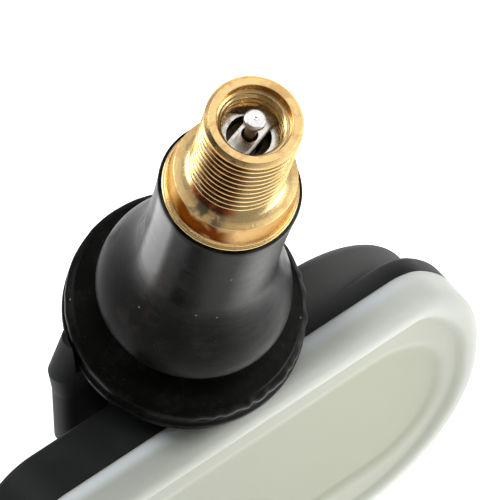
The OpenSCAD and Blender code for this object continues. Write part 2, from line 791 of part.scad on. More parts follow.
// The screw that clamps the stem's foot into the saddle, with a six lobe driver recess
module retaining_screw() {
    under = saddle_bottom - 0.01;
    end_taper = 0.4;
    washer = 0.5;
    recess_radius = 1.05;
    lobe = 0.42;
    color([0.62, 0.63, 0.65]) on_stem() difference() {
        union() {
            translate([0, 0, under]) cylinder(r = screw_radius, h = screw_length);
            translate([0, 0, under + screw_length - 0.01])
                cylinder(r1 = screw_radius, r2 = screw_radius - end_taper, h = end_taper);
            translate([0, 0, under - washer]) cylinder(r = screw_head_radius, h = washer);
            translate([0, 0, under - screw_head_height])
                cylinder(r1 = screw_head_radius - 0.6, r2 = screw_head_radius - 0.15, h = screw_head_height - washer + 0.05);
        }
        translate([0, 0, under - screw_head_height - cut]) {
            cylinder(r = recess_radius, h = recess_depth + cut);
            for (i = [0:5]) rotate([0, 0, 60 * i]) translate([recess_radius, 0, 0])
                cylinder(r = lobe, h = recess_depth + cut);
        }
    }
}

module circuit_board() {
    color([0.1, 0.35, 0.2]) upright() difference() {
        translate([0, 0, board_level]) linear_extrude(board_thickness) body_outline(board_inset);
        at_posts() translate([0, 0, board_level - cut])
            cylinder(r = peg_radius + peg_clearance, h = board_thickness + 2 * cut);
    }
}

module battery_cell() {
    can = battery_height - battery_step_depth;
    color([0.78, 0.78, 0.8]) upright() translate([dome_offset, dome_height, battery_seat]) {
        cylinder(r = battery_radius, h = can);
        cylinder(r = battery_radius - battery_step, h = battery_height);
    }
}

// A strip of nickel that starts at height z on the battery and runs by reach along Z, with an end
// that is bent up to the board
module battery_tab(z, reach, level) {
    width = 2.5;
    post = 0.8;
    far = reach > 0 ? reach - post : reach;
    upright() translate([dome_offset, dome_height + z, level]) {
        translate([-width / 2, min(0, reach), 0]) cube([width, abs(reach), tab_thickness]);
        translate([-width / 4, far, 0]) cube([width / 2, post, board_level - level]);
    }
}

module battery_tab_minus() {
    color([0.7, 0.7, 0.68]) battery_tab(0, battery_radius / 3, battery_seat + battery_height);
}

// It lies on the step round the battery's cap
module battery_tab_plus() {
    play = 0.1;
    overhang = 1.1;
    color([0.7, 0.7, 0.68]) battery_tab(battery_step - play - battery_radius, -battery_step - overhang,
        battery_seat + battery_height - battery_step_depth);
}

module pressure_chip() {
    bottom = back_floor + filter_thickness + gasket_thickness;
    color([0.16, 0.16, 0.17]) upright() translate([chip_x, dome_height, 0]) difference() {
        translate([-chip_side / 2, -chip_side / 2, bottom]) cube([chip_side, chip_side, board_level - bottom]);
        translate([0, 0, bottom - cut]) cylinder(r = port_radius - 0.2, h = gasket_thickness + cut);
    }
}

module port_gasket() {
    bottom = back_floor + filter_thickness;
    color([0.3, 0.1, 0.08]) upright() translate([chip_x, dome_height, 0])
        tube(port_radius + 1.4, port_radius + 0.3, bottom, bottom + gasket_thickness);
}

module port_filter() {
    color([0.92, 0.92, 0.9]) upright() translate([chip_x, dome_height, back_floor])
        cylinder(r = port_radius + 1.5, h = filter_thickness);
}

// Puts its children at the wake-up coil's place on the board
module at_coil() upright() translate([-coil_offset, body_height - coil_margin, board_top]) children();

// The bobbin of the wake-up coil: a bar between two end cheeks
module coil_core() {
    cheek = [1, 2.4, 1.3];
    color([0.2, 0.2, 0.21]) at_coil() {
        for (side = [-1, 1]) translate([side * coil_length / 2 - cheek[0] / 2, -cheek[1] / 2, 0]) cube(cheek);
        translate([-coil_length / 2, -coil_bar[1] / 2, coil_bar_rise]) cube(coil_bar);
    }
}

module coil_winding() {
    length = coil_length - 3 * coil_wall;
    width = coil_bar[1] + 2 * coil_wall;
    height = coil_bar[2] + coil_wall;
    color([0.72, 0.4, 0.2]) at_coil() difference() {
        translate([-length / 2, -width / 2, coil_bar_rise - coil_wall / 2]) cube([length, width, height]);
        translate([-length / 2 - cut, -coil_bar[1] / 2 - coil_play, coil_bar_rise - coil_play])
            cube([length + 2 * cut, coil_bar[1] + 2 * coil_play, coil_bar[2] + 2 * coil_play]);
    }
}

// A bent wire: two feet on the board, two round bends and a straight run
module antenna() {
    level = 0.95;
    bend = 0.6;
    half = antenna_length / 2;
    color([0.85, 0.7, 0.4]) upright() translate([0, antenna_margin, board_top]) {
        for (side = [-1, 1]) mirror([side < 0 ? 1 : 0, 0, 0]) {
            translate([half, 0, 0]) cylinder(r = antenna_wire, h = level - bend);
            translate([half - bend, 0, level - bend]) rotate([90, 0, 0])
                rotate_extrude(angle = 90) translate([bend, 0]) circle(r = antenna_wire);
        }
        translate([bend - half, 0, level]) rotate([0, 90, 0])
            cylinder(r = antenna_wire, h = antenna_length - 2 * bend);
    }
}

// The crystal's can on its base plate
module crystal() {
    margin = 0.2;
    plate = [1.28 * crystal_width, crystal_width, margin];
    can = [plate[0] - 2 * margin, plate[1] - 2 * margin, 4 * margin];
    place = antenna_margin + capacitor_gap + capacitor_length + crystal_gap + crystal_width / 2;
    color([0.8, 0.8, 0.78]) upright() translate([0, place, board_top]) {
        translate([-plate[0] / 2, -plate[1] / 2, 0]) cube(plate);
        translate([-can[0] / 2, -can[1] / 2, 0]) cube(can);
    }
}

// A row of small chip capacitors
module capacitors() {
    count = 5;
    size = [capacitor_length / 2, capacitor_length, capacitor_length / 2];
    pitch = 2.2;
    color([0.62, 0.5, 0.36]) upright() for (i = [0:count - 1])
        translate([-coil_offset + pitch * i, antenna_margin + capacitor_gap, board_top]) cube(size);
}

housing();
cover();
rubber_stem();
brass_stem();
core_plug();
core_barrel();
barrel_seal();
core_pin();
core_spring();
core_cup();
cup_seal();
retaining_screw();
circuit_board();
battery_cell();
battery_tab_plus();
battery_tab_minus();
pressure_chip();
port_gasket();
port_filter();
coil_core();
coil_winding();
antenna();
crystal();
capacitors();
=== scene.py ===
"""A snap-in tyre pressure sensor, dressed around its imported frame.

The sensor stands on the long side of its body. A brass valve stem covered with rubber leans from
the body's upper side towards the milky cover. Lengths in the classes are in millimetres, and
heights along the stem are counted from the widest circle of the rubber flange.
"""

import json
import logging
import math
import random
from dataclasses import dataclass
from enum import Enum
from typing import Optional, Sequence, Union

import bpy
from mathutils import Matrix, Vector

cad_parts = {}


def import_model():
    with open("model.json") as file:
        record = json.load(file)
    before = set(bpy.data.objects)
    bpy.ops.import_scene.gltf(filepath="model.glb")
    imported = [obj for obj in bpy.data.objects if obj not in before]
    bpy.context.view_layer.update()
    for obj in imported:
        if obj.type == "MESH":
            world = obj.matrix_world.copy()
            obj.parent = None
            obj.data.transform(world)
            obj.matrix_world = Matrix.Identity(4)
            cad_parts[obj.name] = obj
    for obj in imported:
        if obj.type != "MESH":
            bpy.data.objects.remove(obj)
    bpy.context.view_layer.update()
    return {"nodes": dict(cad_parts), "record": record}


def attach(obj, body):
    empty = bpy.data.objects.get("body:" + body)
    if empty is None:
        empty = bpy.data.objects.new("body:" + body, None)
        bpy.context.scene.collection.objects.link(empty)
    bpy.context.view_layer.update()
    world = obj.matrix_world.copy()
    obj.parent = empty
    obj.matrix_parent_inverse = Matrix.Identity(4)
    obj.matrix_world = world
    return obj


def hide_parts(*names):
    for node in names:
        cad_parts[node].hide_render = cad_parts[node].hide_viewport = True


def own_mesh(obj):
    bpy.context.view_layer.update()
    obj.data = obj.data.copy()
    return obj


LOG = logging.getLogger("sensor")
MM = 0.001
MERGE = 0.002 * MM
RIM_SEAT = 2.35
FULL_TURN = 2.0 * math.pi
Colour = tuple[float, float, float]
Point = tuple[float, float]


@dataclass(frozen=True)
class StemAxis:
    """The line that the valve stem's parts are turned about.

    Attributes:
        centre: The flange's centre, in metres.
        up: The direction from the flange to the mouth.
        lean: The lean of that direction towards the cover, in radians.
    """

    centre: Vector
    up: Vector
    lean: float

    @classmethod
    def from_record(cls, record: dict, seat_height: float) -> "StemAxis":
        """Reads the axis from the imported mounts.

        Args:
            record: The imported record.
            seat_height: The height of the rim seat above the flange's centre, in millimetres.

        Returns:
            The stem's axis.
        """
        mounts = {mount["name"]: mount for mount in record["mounts"]}
        up = Vector(mounts["valve_thread"]["axis"]).normalized()
        seat = Vector(mounts["rim_seat"]["pos_m"])
        return cls(seat - up * seat_height * MM, up, math.atan2(-up.y, up.z))

    def point(self, radius: float, height: float, angle: float = 0.0) -> Vector:
        """Finds a place about the axis.

        Args:
            radius: The distance from the axis, in millimetres.
            height: The height along the axis, in millimetres.
            angle: The turn from +X towards the stem's own back, in radians.

        Returns:
            The place, in metres.
        """
        local = Vector((radius * math.cos(angle), radius * math.sin(angle), height)) * MM
        return self.centre + Matrix.Rotation(self.lean, 3, "X") @ local

    def local(self, place: Vector) -> Vector:
        """Turns a place in metres into the stem's own millimetres.

        Args:
            place: The place, in metres.

        Returns:
            The place about the axis, with Z along it.
        """
        return (Matrix.Rotation(-self.lean, 3, "X") @ (place - self.centre)) / MM


class Signal:
    """A shader socket that Python's operators add Math nodes to."""

    def __init__(self, tree: bpy.types.NodeTree, socket: bpy.types.NodeSocket) -> None:
        """Wraps an output socket of a tree."""
        self.tree = tree
        self.socket = socket

    def maths(self, operation: str, first: "Number", second: "Number" = 0.0) -> "Signal":
        """Adds one Math node.

        Args:
            operation: The Math node's operation.
            first: Its first value.
            second: Its second value.

        Returns:
            The node's result.
        """
        node = self.tree.nodes.new("ShaderNodeMath")
        node.operation = operation
        for socket, value in zip(node.inputs, (first, second)):
            if isinstance(value, Signal):
                self.tree.links.new(value.socket, socket)
            else:
                socket.default_value = value
        return Signal(self.tree, node.outputs[0])

    def clamped(self) -> "Signal":
        """Keeps the signal between nothing and one."""
        raised = self.maths("MAXIMUM", self, 0.0)
        return raised.maths("MINIMUM", raised, 1.0)

    def __add__(self, other: "Number") -> "Signal":
        """Adds."""
        return self.maths("ADD", self, other)

    def __radd__(self, other: "Number") -> "Signal":
        """Adds, with this signal second."""
        return self.maths("ADD", other, self)

    def __sub__(self, other: "Number") -> "Signal":
        """Subtracts."""
        return self.maths("SUBTRACT", self, other)

    def __rsub__(self, other: "Number") -> "Signal":
        """Subtracts this signal from a number."""
        return self.maths("SUBTRACT", other, self)

    def __mul__(self, other: "Number") -> "Signal":
        """Multiplies."""
        return self.maths("MULTIPLY", self, other)

    def __rmul__(self, other: "Number") -> "Signal":
        """Multiplies, with this signal second."""
        return self.maths("MULTIPLY", other, self)

    def __truediv__(self, other: "Number") -> "Signal":
        """Divides."""
        return self.maths("DIVIDE", self, other)

    def __rtruediv__(self, other: "Number") -> "Signal":
        """Divides a number by this signal."""
        return self.maths("DIVIDE", other, self)

    def __pow__(self, other: "Number") -> "Signal":
        """Raises to a power."""
        return self.maths("POWER", self, other)

    def __gt__(self, other: "Number") -> "Signal":
        """Is one where this signal is the greater, and otherwise nothing."""
        return self.maths("GREATER_THAN", self, other)

    def __lt__(self, other: "Number") -> "Signal":
        """Is one where this signal is the smaller, and otherwise nothing."""
        return self.maths("LESS_THAN", self, other)


Number = Union[float, Signal]


class Recipe:
    """The node tree of one finish."""

    def __init__(self, name: str, **fixed: object) -> None:
        """Starts a material with one Principled shader.

        Args:
            name: The material's name.
            **fixed: Values for the shader's own sockets, with underscores for spaces.
        """
        self.material = bpy.data.materials.new(name)
        self.material.use_nodes = True
        self.tree = self.material.node_tree
        self.tree.nodes.clear()
        output = self.tree.nodes.new("ShaderNodeOutputMaterial")
        self.shader = self.tree.nodes.new("ShaderNodeBsdfPrincipled")
        self.tree.links.new(self.shader.outputs[0], output.inputs["Surface"])
        for socket, value in fixed.items():
            self.shader.inputs[socket.replace("_", " ")].default_value = value

    def node(self, kind: str, settings: Optional[dict] = None,
             inputs: Optional[dict] = None) -> bpy.types.Node:
        """Adds a node.

        Args:
            kind: The node's type.
            settings: Its settings, set before its sockets.
            inputs: The values or links of its sockets, by name or number.

        Returns:
            The node.
        """
        made = self.tree.nodes.new(kind)
        for name, value in (settings or {}).items():
            setattr(made, name, value)
        for name, value in (inputs or {}).items():
            self._fill(made.inputs[name], value)
        return made

    def _fill(self, socket: bpy.types.NodeSocket, value: object) -> None:
        """Links a signal to a socket, or sets the socket's own value.

        Args:
            socket: The socket.
            value: A signal, a colour or another value.
        """
        if isinstance(value, Signal):
            self.tree.links.new(value.socket, socket)
        elif isinstance(value, tuple) and len(value) == 3 and socket.type == "RGBA":
            socket.default_value = (*value, 1.0)
        else:
            socket.default_value = value

    def signal(self, made: bpy.types.Node, output: Union[int, str] = 0) -> Signal:
        """Wraps one output of a node."""
        return Signal(self.tree, made.outputs[output])

    def feed(self, socket: str, value: object) -> None:
        """Fills one of the shader's sockets."""
        self._fill(self.shader.inputs[socket], value)

    def place(self) -> Signal:
        """Gives the object's own coordinates in millimetres.

        Returns:
            The coordinates.
        """
        source = self.node("ShaderNodeTexCoord")
        scaled = self.node("ShaderNodeVectorMath", {"operation": "SCALE"},
                           {0: self.signal(source, "Object"), "Scale": 1.0 / MM})
        return self.signal(scaled)

    def about(self, axis: StemAxis) -> Signal:
        """Gives coordinates in millimetres about the stem, with Z along it.

        Args:
            axis: The stem's axis.

        Returns:
            The coordinates.
        """
        source = self.node("ShaderNodeTexCoord")
        shift = -(Matrix.Rotation(-axis.lean, 3, "X") @ axis.centre) / MM
        turned = self.node("ShaderNodeMapping", {"vector_type": "POINT"},
                           {"Vector": self.signal(source, "Object"), "Location": tuple(shift),
                            "Rotation": (-axis.lean, 0.0, 0.0), "Scale": (1.0 / MM,) * 3})
        return self.signal(turned)

    def split(self, vector: Signal) -> tuple[Signal, Signal, Signal]:
        """Splits a vector into its three parts."""
        parts = self.node("ShaderNodeSeparateXYZ", None, {0: vector})
        return self.signal(parts, 0), self.signal(parts, 1), self.signal(parts, 2)

    def join(self, x: Number, y: Number, z: Number) -> Signal:
        """Joins three parts into a vector."""
        return self.signal(self.node("ShaderNodeCombineXYZ", None, {0: x, 1: y, 2: z}))

    def round_about(self, vector: Signal) -> tuple[Signal, Signal, Signal]:
        """Gives the radius, angle and height of a vector about Z."""
        x, y, z = self.split(vector)
        return (x * x + y * y) ** 0.5, x.maths("ARCTAN2", y, x), z

    def side(self, angle: Signal, centre: float, inner: float, outer: float) -> Signal:
        """Picks one side of the stem.

        Args:
            angle: The turn about the stem, in radians.
            centre: The side's middle, in degrees.
            inner: How far from the middle the share is still whole, in degrees.
            outer: How far from the middle it has gone.

        Returns:
            One in the middle and nothing outside.
        """
        shifted = angle - math.radians(centre)
        facing = shifted.maths("COSINE", shifted)
        return self.smooth(facing, math.cos(math.radians(outer)), math.cos(math.radians(inner)))

    def noise(self, vector: Signal, scale: float, detail: float = 3.0, rough: float = 0.5) -> Signal:
        """Adds a noise pattern.

        Args:
            vector: Where it is read.
            scale: Its spots per millimetre.
            detail: Its octaves.
            rough: How strong the finer octaves are.

        Returns:
            The pattern, about 0.5 on average.
        """
        made = self.node("ShaderNodeTexNoise", {"noise_dimensions": "3D"},
                         {"Vector": vector, "Scale": scale, "Detail": detail, "Roughness": rough})
        return self.signal(made, "Fac")

    def specks(self, vector: Signal, scale: float, size: float) -> Signal:
        """Adds round specks, one where a coarse cell has its centre.

        Args:
            vector: Where the pattern is read.
            scale: Cells per millimetre.
            size: The specks' radius, as a share of a cell.

        Returns:
            One inside a speck and nothing outside.
        """
        made = self.node("ShaderNodeTexVoronoi", {"feature": "F1"},
                         {"Vector": vector, "Scale": scale})
        return self.smooth(self.signal(made, "Distance"), size, 0.5 * size)

    def smooth(self, value: Number, start: float, end: float) -> Signal:
        """Rises smoothly from nothing to one.

        Args:
            value: What is measured.
            start: The value at which the result is nothing.
            end: The value at which it is one, which may be the smaller.

        Returns:
            The result.
        """
        rising = float(start < end)
        made = self.node("ShaderNodeMapRange", {"interpolation_type": "SMOOTHSTEP"},
                         {"Value": value, "From Min": min(start, end), "From Max": max(start, end),
                          "To Min": 1.0 - rising, "To Max": rising})
        return self.signal(made, "Result")

    def band(self, value: Signal, ends: Point, soft: Point) -> Signal:
        """Picks a range of a value.

        Args:
            value: What is measured.
            ends: Where the range starts and ends.
            soft: How long it takes to rise at its start and to fall at its end.

        Returns:
            One inside the range and nothing outside.
        """
        rise = self.smooth(value, ends[0], ends[0] + soft[0])
        return rise * self.smooth(value, ends[1], ends[1] - soft[1])

    def mix(self, first: Union[Colour, Signal], second: Union[Colour, Signal],
            share: Number) -> Signal:
        """Mixes two colours.

        Args:
            first: The colour at no share.
            second: The colour at full share.
            share: How much of the second shows.

        Returns:
            The mixed colour.
        """
        made = self.node("ShaderNodeMix", {"data_type": "RGBA"}, {0: share, 6: first, 7: second})
        return self.signal(made, 2)

    def bump(self, height: Signal, depth: float) -> None:
        """Feeds a relief to the shader's normal.

        Args:
            height: The relief, from nothing to one.
            depth: Its depth in millimetres.
        """
        made = self.node("ShaderNodeBump", None,
                         {"Height": height, "Distance": depth * MM, "Strength": 1.0})
        self.feed("Normal", self.signal(made))


@dataclass(frozen=True)
class TurnedBrass:
    """Bright brass from the lathe, redder deep in the thread's grooves, with painted dark reflections
    on one side of the thread, its relief and the shoulder's wall.

    Attributes:
        axis: The line that it is turned about.
        bright: Its colour where it is clean.
        edge: The tint of what it reflects at a grazing angle.
        red: Its colour deep in a groove, and the colour of the painted dark red reflection on one side
            of the thread.
        relief_reflection_red: The painted red reflection on one side of the relief below the thread.
        wall_reflection_dark: The painted dark reflection on one side of the shoulder's wall.
        brown: Its colour on the rest of that wall.
        tarnish: Its colour where it has been handled. It also dulls the counterbore's wall, and the
            mouth's face as painted shade that dims its highlight.
        shoulder_dark_grey: The colour of the dark grey patches on the shoulder's face.
        crest: The radius of the thread's crests.
        groove: How far below the crests it is reddest.
        skin: The radius that parts the outside from the bore.
        thread: The heights of the thread's two ends.
        relief: The heights of the relief's two ends.
        wall: The heights of the wall's two ends.
        shoulder: The heights below and above the shoulder's face.
        chatter: The radii between which the tool's chatter grows.
        mouth: The height at which the mouth's face starts.
        dark_reflection_side: The turn about the stem of the side with the painted dark reflections, in
            degrees.
    """

    axis: StemAxis
    bright: Colour = (0.88, 0.645, 0.30)
    edge: Colour = (0.88, 0.60, 0.34)
    red: Colour = (0.26, 0.065, 0.02)
    relief_reflection_red: Colour = (1.0, 0.23, 0.065)
    wall_reflection_dark: Colour = (0.06, 0.014, 0.012)
    brown: Colour = (0.46, 0.29, 0.14)
    tarnish: Colour = (0.66, 0.40, 0.16)
    shoulder_dark_grey: Colour = (0.12, 0.12, 0.10)
    crest: float = 3.85
    groove: float = 0.36
    skin: float = 3.3
    thread: Point = (28.4, 36.5)
    relief: Point = (27.45, 28.6)
    wall: Point = (24.9, 27.3)
    shoulder: Point = (26.9, 27.75)
    chatter: Point = (4.25, 4.6)
    mouth: float = 36.75
    dark_reflection_side: float = -158.0

    def colour(self, recipe: Recipe, about: Signal, patches: Signal) -> Signal:
        """Mixes the brass's colour.

        Args:
            recipe: The recipe that takes the nodes.
            about: Coordinates about the stem.
            patches: Where it has been handled.

        Returns:
            The colour.
        """
        radius, angle, height = recipe.round_about(about)
        outside = radius > self.skin
        # Painted dark reflection on one side of the stem, whole within 14 degrees of its middle.
        dark_reflection = recipe.side(angle, self.dark_reflection_side, 14.0, 34.0)
        # The wider side over which the painted dark reflections on the wall and the relief spread.
        around = recipe.side(angle, self.dark_reflection_side - 4.0, 20.0, 40.0)
        spots = recipe.smooth(recipe.noise(about, 3.5, 3.0, 0.6), 0.6, 0.72)
        colour = recipe.mix(self.bright, self.tarnish, patches * 0.4 + spots * 0.25)
        wall = recipe.band(height, self.wall, (0.3, 0.15)) * outside
        colour = recipe.mix(colour, self.brown, wall * 0.8)
        along = recipe.join(angle * 2.2, 0.0, height * 0.4)
        streaks = recipe.smooth(recipe.noise(along, 1.0, 2.0, 0.5), 0.38, 0.55)
        # Painted dark reflection, in streaks, on one side of the shoulder's wall.
        colour = recipe.mix(colour, self.wall_reflection_dark, wall * around * (0.55 + 0.45 * streaks))
        low, high = self.thread
        deep = recipe.smooth(height, low - 0.2, low) * (height < high + 0.3) * outside
        groove = recipe.smooth(radius, self.crest - 0.05, self.crest - self.groove)
        # Redder deep in the groove, and the painted dark red reflection on one side of the thread.
        redness = (groove * 0.2 + dark_reflection * (0.55 + 0.45 * groove)).clamped()
        colour = recipe.mix(colour, self.red, deep * redness)
        # Painted red reflection on one side of the relief below the thread.
        relief = recipe.band(height, self.relief, (0.2, 0.3)) * outside
        colour = recipe.mix(colour, self.relief_reflection_red, relief * around * 0.85)
        bore = recipe.smooth(height, self.mouth + 0.15, self.mouth - 0.35) * (radius < self.skin - 0.1)
        colour = recipe.mix(colour, self.tarnish, bore * (0.2 + 0.4 * patches))
        # Painted shade that dims the highlight on the mouth's face, more where it has been handled.
        mouth = recipe.smooth(height, self.mouth, self.mouth + 0.2)
        colour = recipe.mix(colour, self.tarnish, mouth * (0.35 + 0.35 * patches))
        # Dark grey patches on the shoulder's face, only on the side of the painted dark reflections.
        shoulder_patches = recipe.smooth(recipe.noise(about, 0.8, 3.0, 0.5), 0.38, 0.52)
        shoulder_patches = shoulder_patches * recipe.band(height, self.shoulder, (0.3, 0.25))
        return recipe.mix(colour, self.shoulder_dark_grey,
                          shoulder_patches * recipe.side(angle, self.dark_reflection_side, 8.0, 24.0) * 0.85)

    def make(self) -> bpy.types.Material:
        """Builds the material.

        Returns:
            The material.
        """
        recipe = Recipe("turned_brass", Metallic=1.0, Specular_Tint=(*self.edge, 1.0))
        about = recipe.about(self.axis)
        radius, angle, height = recipe.round_about(about)
        patches = recipe.smooth(recipe.noise(about, 0.9, 4.0, 0.6), 0.48, 0.66)
        recipe.feed("Base Color", self.colour(recipe, about, patches))
        rings = recipe.noise(recipe.join(angle * 0.4, radius * 14.0, height * 14.0), 1.0, 2.0, 0.6)
        marks = recipe.noise(recipe.join(angle * 26.0, radius * 2.2, 0.0), 1.0, 2.0, 0.7)
        shaken = recipe.smooth(radius, *self.chatter) * recipe.smooth(height, 27.0, 27.25)
        flat = recipe.band(height, self.shoulder, (0.3, 0.25))
        recipe.feed("Roughness", 0.2 + 0.1 * rings + 0.12 * patches + 0.2 * shaken * flat)
        recipe.bump(rings * 0.5 + marks * shaken * 2.5, 0.012)
        return recipe.material


@dataclass(frozen=True)
class StemRubber:
    """Moulded black rubber with a soft sheen, a painted grey sheen on one side of the neck, scuffs and
    a little dust.

    Attributes:
        axis: The stem's axis.
        black: Its colour.
        scuff: Its colour where it is scuffed.
        painted_sheen_grey: The colour of the painted grey sheen on one side of the neck.
        dust: The colour of the dust.
        rust: The colour of a brownish smear beside the dull streak.
        bulb: The heights between which the bulb gives way to the neck.
        sheen_side: The turn about the stem of the neck's painted sheen, in degrees.
        bright_side: The turn of the neck's shiniest streak.
        front_side: The turn of the softer shine towards the cover.
        dull_side: The turn of the dull streak.
        rusty_side: The turn of the brownish smear.
        far_side: The turn of the bulb's dull side.
    """

    axis: StemAxis
    black: Colour = (0.004, 0.004, 0.0035)
    scuff: Colour = (0.012, 0.012, 0.011)
    painted_sheen_grey: Colour = (0.085, 0.088, 0.085)
    dust: Colour = (0.20, 0.20, 0.19)
    rust: Colour = (0.028, 0.016, 0.014)
    bulb: Point = (9.0, 20.0)
    sheen_side: float = -78.0
    bright_side: float = 168.0
    front_side: float = -60.0
    dull_side: float = -158.0
    rusty_side: float = -182.0
    far_side: float = 150.0

    def make(self) -> bpy.types.Material:
        """Builds the material.

        Returns:
            The material.
        """
        recipe = Recipe("stem_rubber", Specular_IOR_Level=0.03, Coat_Roughness=0.28, Coat_IOR=1.4)
        about = recipe.about(self.axis)
        radius, angle, height = recipe.round_about(about)
        cloud = recipe.noise(about, 0.35, 4.0, 0.6)
        smear = recipe.noise(recipe.join(angle * 3.0, radius * 0.3, height * 1.6), 1.0, 3.0, 0.6)
        grain = recipe.noise(about, 9.0, 2.0, 0.5)
        scuffed = recipe.smooth(cloud * 0.6 + smear * 0.4, 0.48, 0.68)
        # The side of the neck that gets the painted grey sheen.
        neck = recipe.smooth(height, *self.bulb) * recipe.side(angle, self.sheen_side, 12.0, 42.0)
        streak = recipe.side(angle, self.bright_side, 4.0, 20.0)
        streak = streak * recipe.smooth(height, self.bulb[0], 16.0)
        front = recipe.side(angle, self.front_side, 20.0, 60.0)
        dull = recipe.side(angle, self.dull_side, 10.0, 26.0)
        far = recipe.side(angle, self.far_side, 20.0, 45.0) * recipe.smooth(height, 11.0, 8.0)
        shine = neck * 0.3 + streak * 1.3 + front * 0.3 + 0.06
        glossy = shine * (1.0 - 0.96 * dull) * (1.0 - 0.8 * far)
        recipe.feed("Coat Weight", (glossy * (0.45 + smear)).clamped())
        colour = recipe.mix(self.black, self.scuff, scuffed)
        # Painted grey sheen on one side of the neck, streaked by the smear.
        colour = recipe.mix(colour, self.painted_sheen_grey, neck * (0.1 + 0.5 * smear))
        rusty = recipe.side(angle, self.rusty_side, 5.0, 16.0) * recipe.smooth(height, 4.0, 8.0)
        colour = recipe.mix(colour, self.rust, rusty * recipe.smooth(cloud, 0.4, 0.6) * 0.6)
        dusty = recipe.specks(about, 0.4, 0.05) + recipe.specks(about, 1.1, 0.05) * 0.5
        # The mealy dust is strongest on the side with the painted sheen.
        mealy = recipe.smooth(grain, 0.54, 0.7) * recipe.smooth(cloud, 0.4, 0.55)
        mealy = mealy * (0.12 + 0.6 * neck)
        colour = recipe.mix(colour, self.dust, (dusty * 0.8 + mealy * 0.35).clamped())
        recipe.feed("Base Color", colour)
        recipe.feed("Roughness", 0.27 + 0.2 * scuffed + 0.06 * grain)
        recipe.bump(grain * 0.4 + cloud * 0.6, 0.02)
        return recipe.material


@dataclass(frozen=True)
class MouldedPlastic:
    """A moulded plastic with a fine eroded texture.

    Attributes:
        name: The material's name.
        colour: Its colour.
        worn: Its colour where it is rubbed.
        roughness: Its roughness where it is smooth.
        grain: Grains per millimetre.
        depth: The grain's depth in millimetres.
        sheen: Its specular level.
        hump: How strong the painted sheen on its hump at the top right is.
        hump_sheen_colour: The colour of the painted sheen on the hump.
        hump_start: The X, Y and Z in millimetres at which the painted sheen starts.
        hump_whole: The X, Y and Z at which it is whole.
    """

    name: str
    colour: Colour
    worn: Colour
    roughness: float = 0.42
    grain: float = 7.0
    depth: float = 0.012
    sheen: float = 0.5
    hump: float = 0.0
    hump_sheen_colour: Colour = (0.10, 0.10, 0.098)
    hump_start: tuple[float, float, float] = (1.0, -2.6, 20.0)
    hump_whole: tuple[float, float, float] = (12.0, 1.0, 26.0)

    def make(self) -> bpy.types.Material:
        """Builds the material.

        Returns:
            The material.
        """
        recipe = Recipe(self.name, Specular_IOR_Level=self.sheen)
        place = recipe.place()
        cloud = recipe.noise(place, 0.25, 3.0, 0.5)
        grain = recipe.noise(place, self.grain, 2.0, 0.6)
        colour = recipe.mix(self.colour, self.worn, recipe.smooth(cloud, 0.4, 0.75))
        # Painted sheen on the hump at the top right.
        if self.hump > 0.0:
            share = self.hump
            for part, start, whole in zip(recipe.split(place), self.hump_start, self.hump_whole):
                share = recipe.smooth(part, start, whole) * share
            colour = recipe.mix(colour, self.hump_sheen_colour, share)
        recipe.feed("Base Color", colour)
        recipe.feed("Roughness", self.roughness + 0.1 * grain + 0.08 * cloud)
        recipe.bump(grain, self.depth)
        return recipe.material


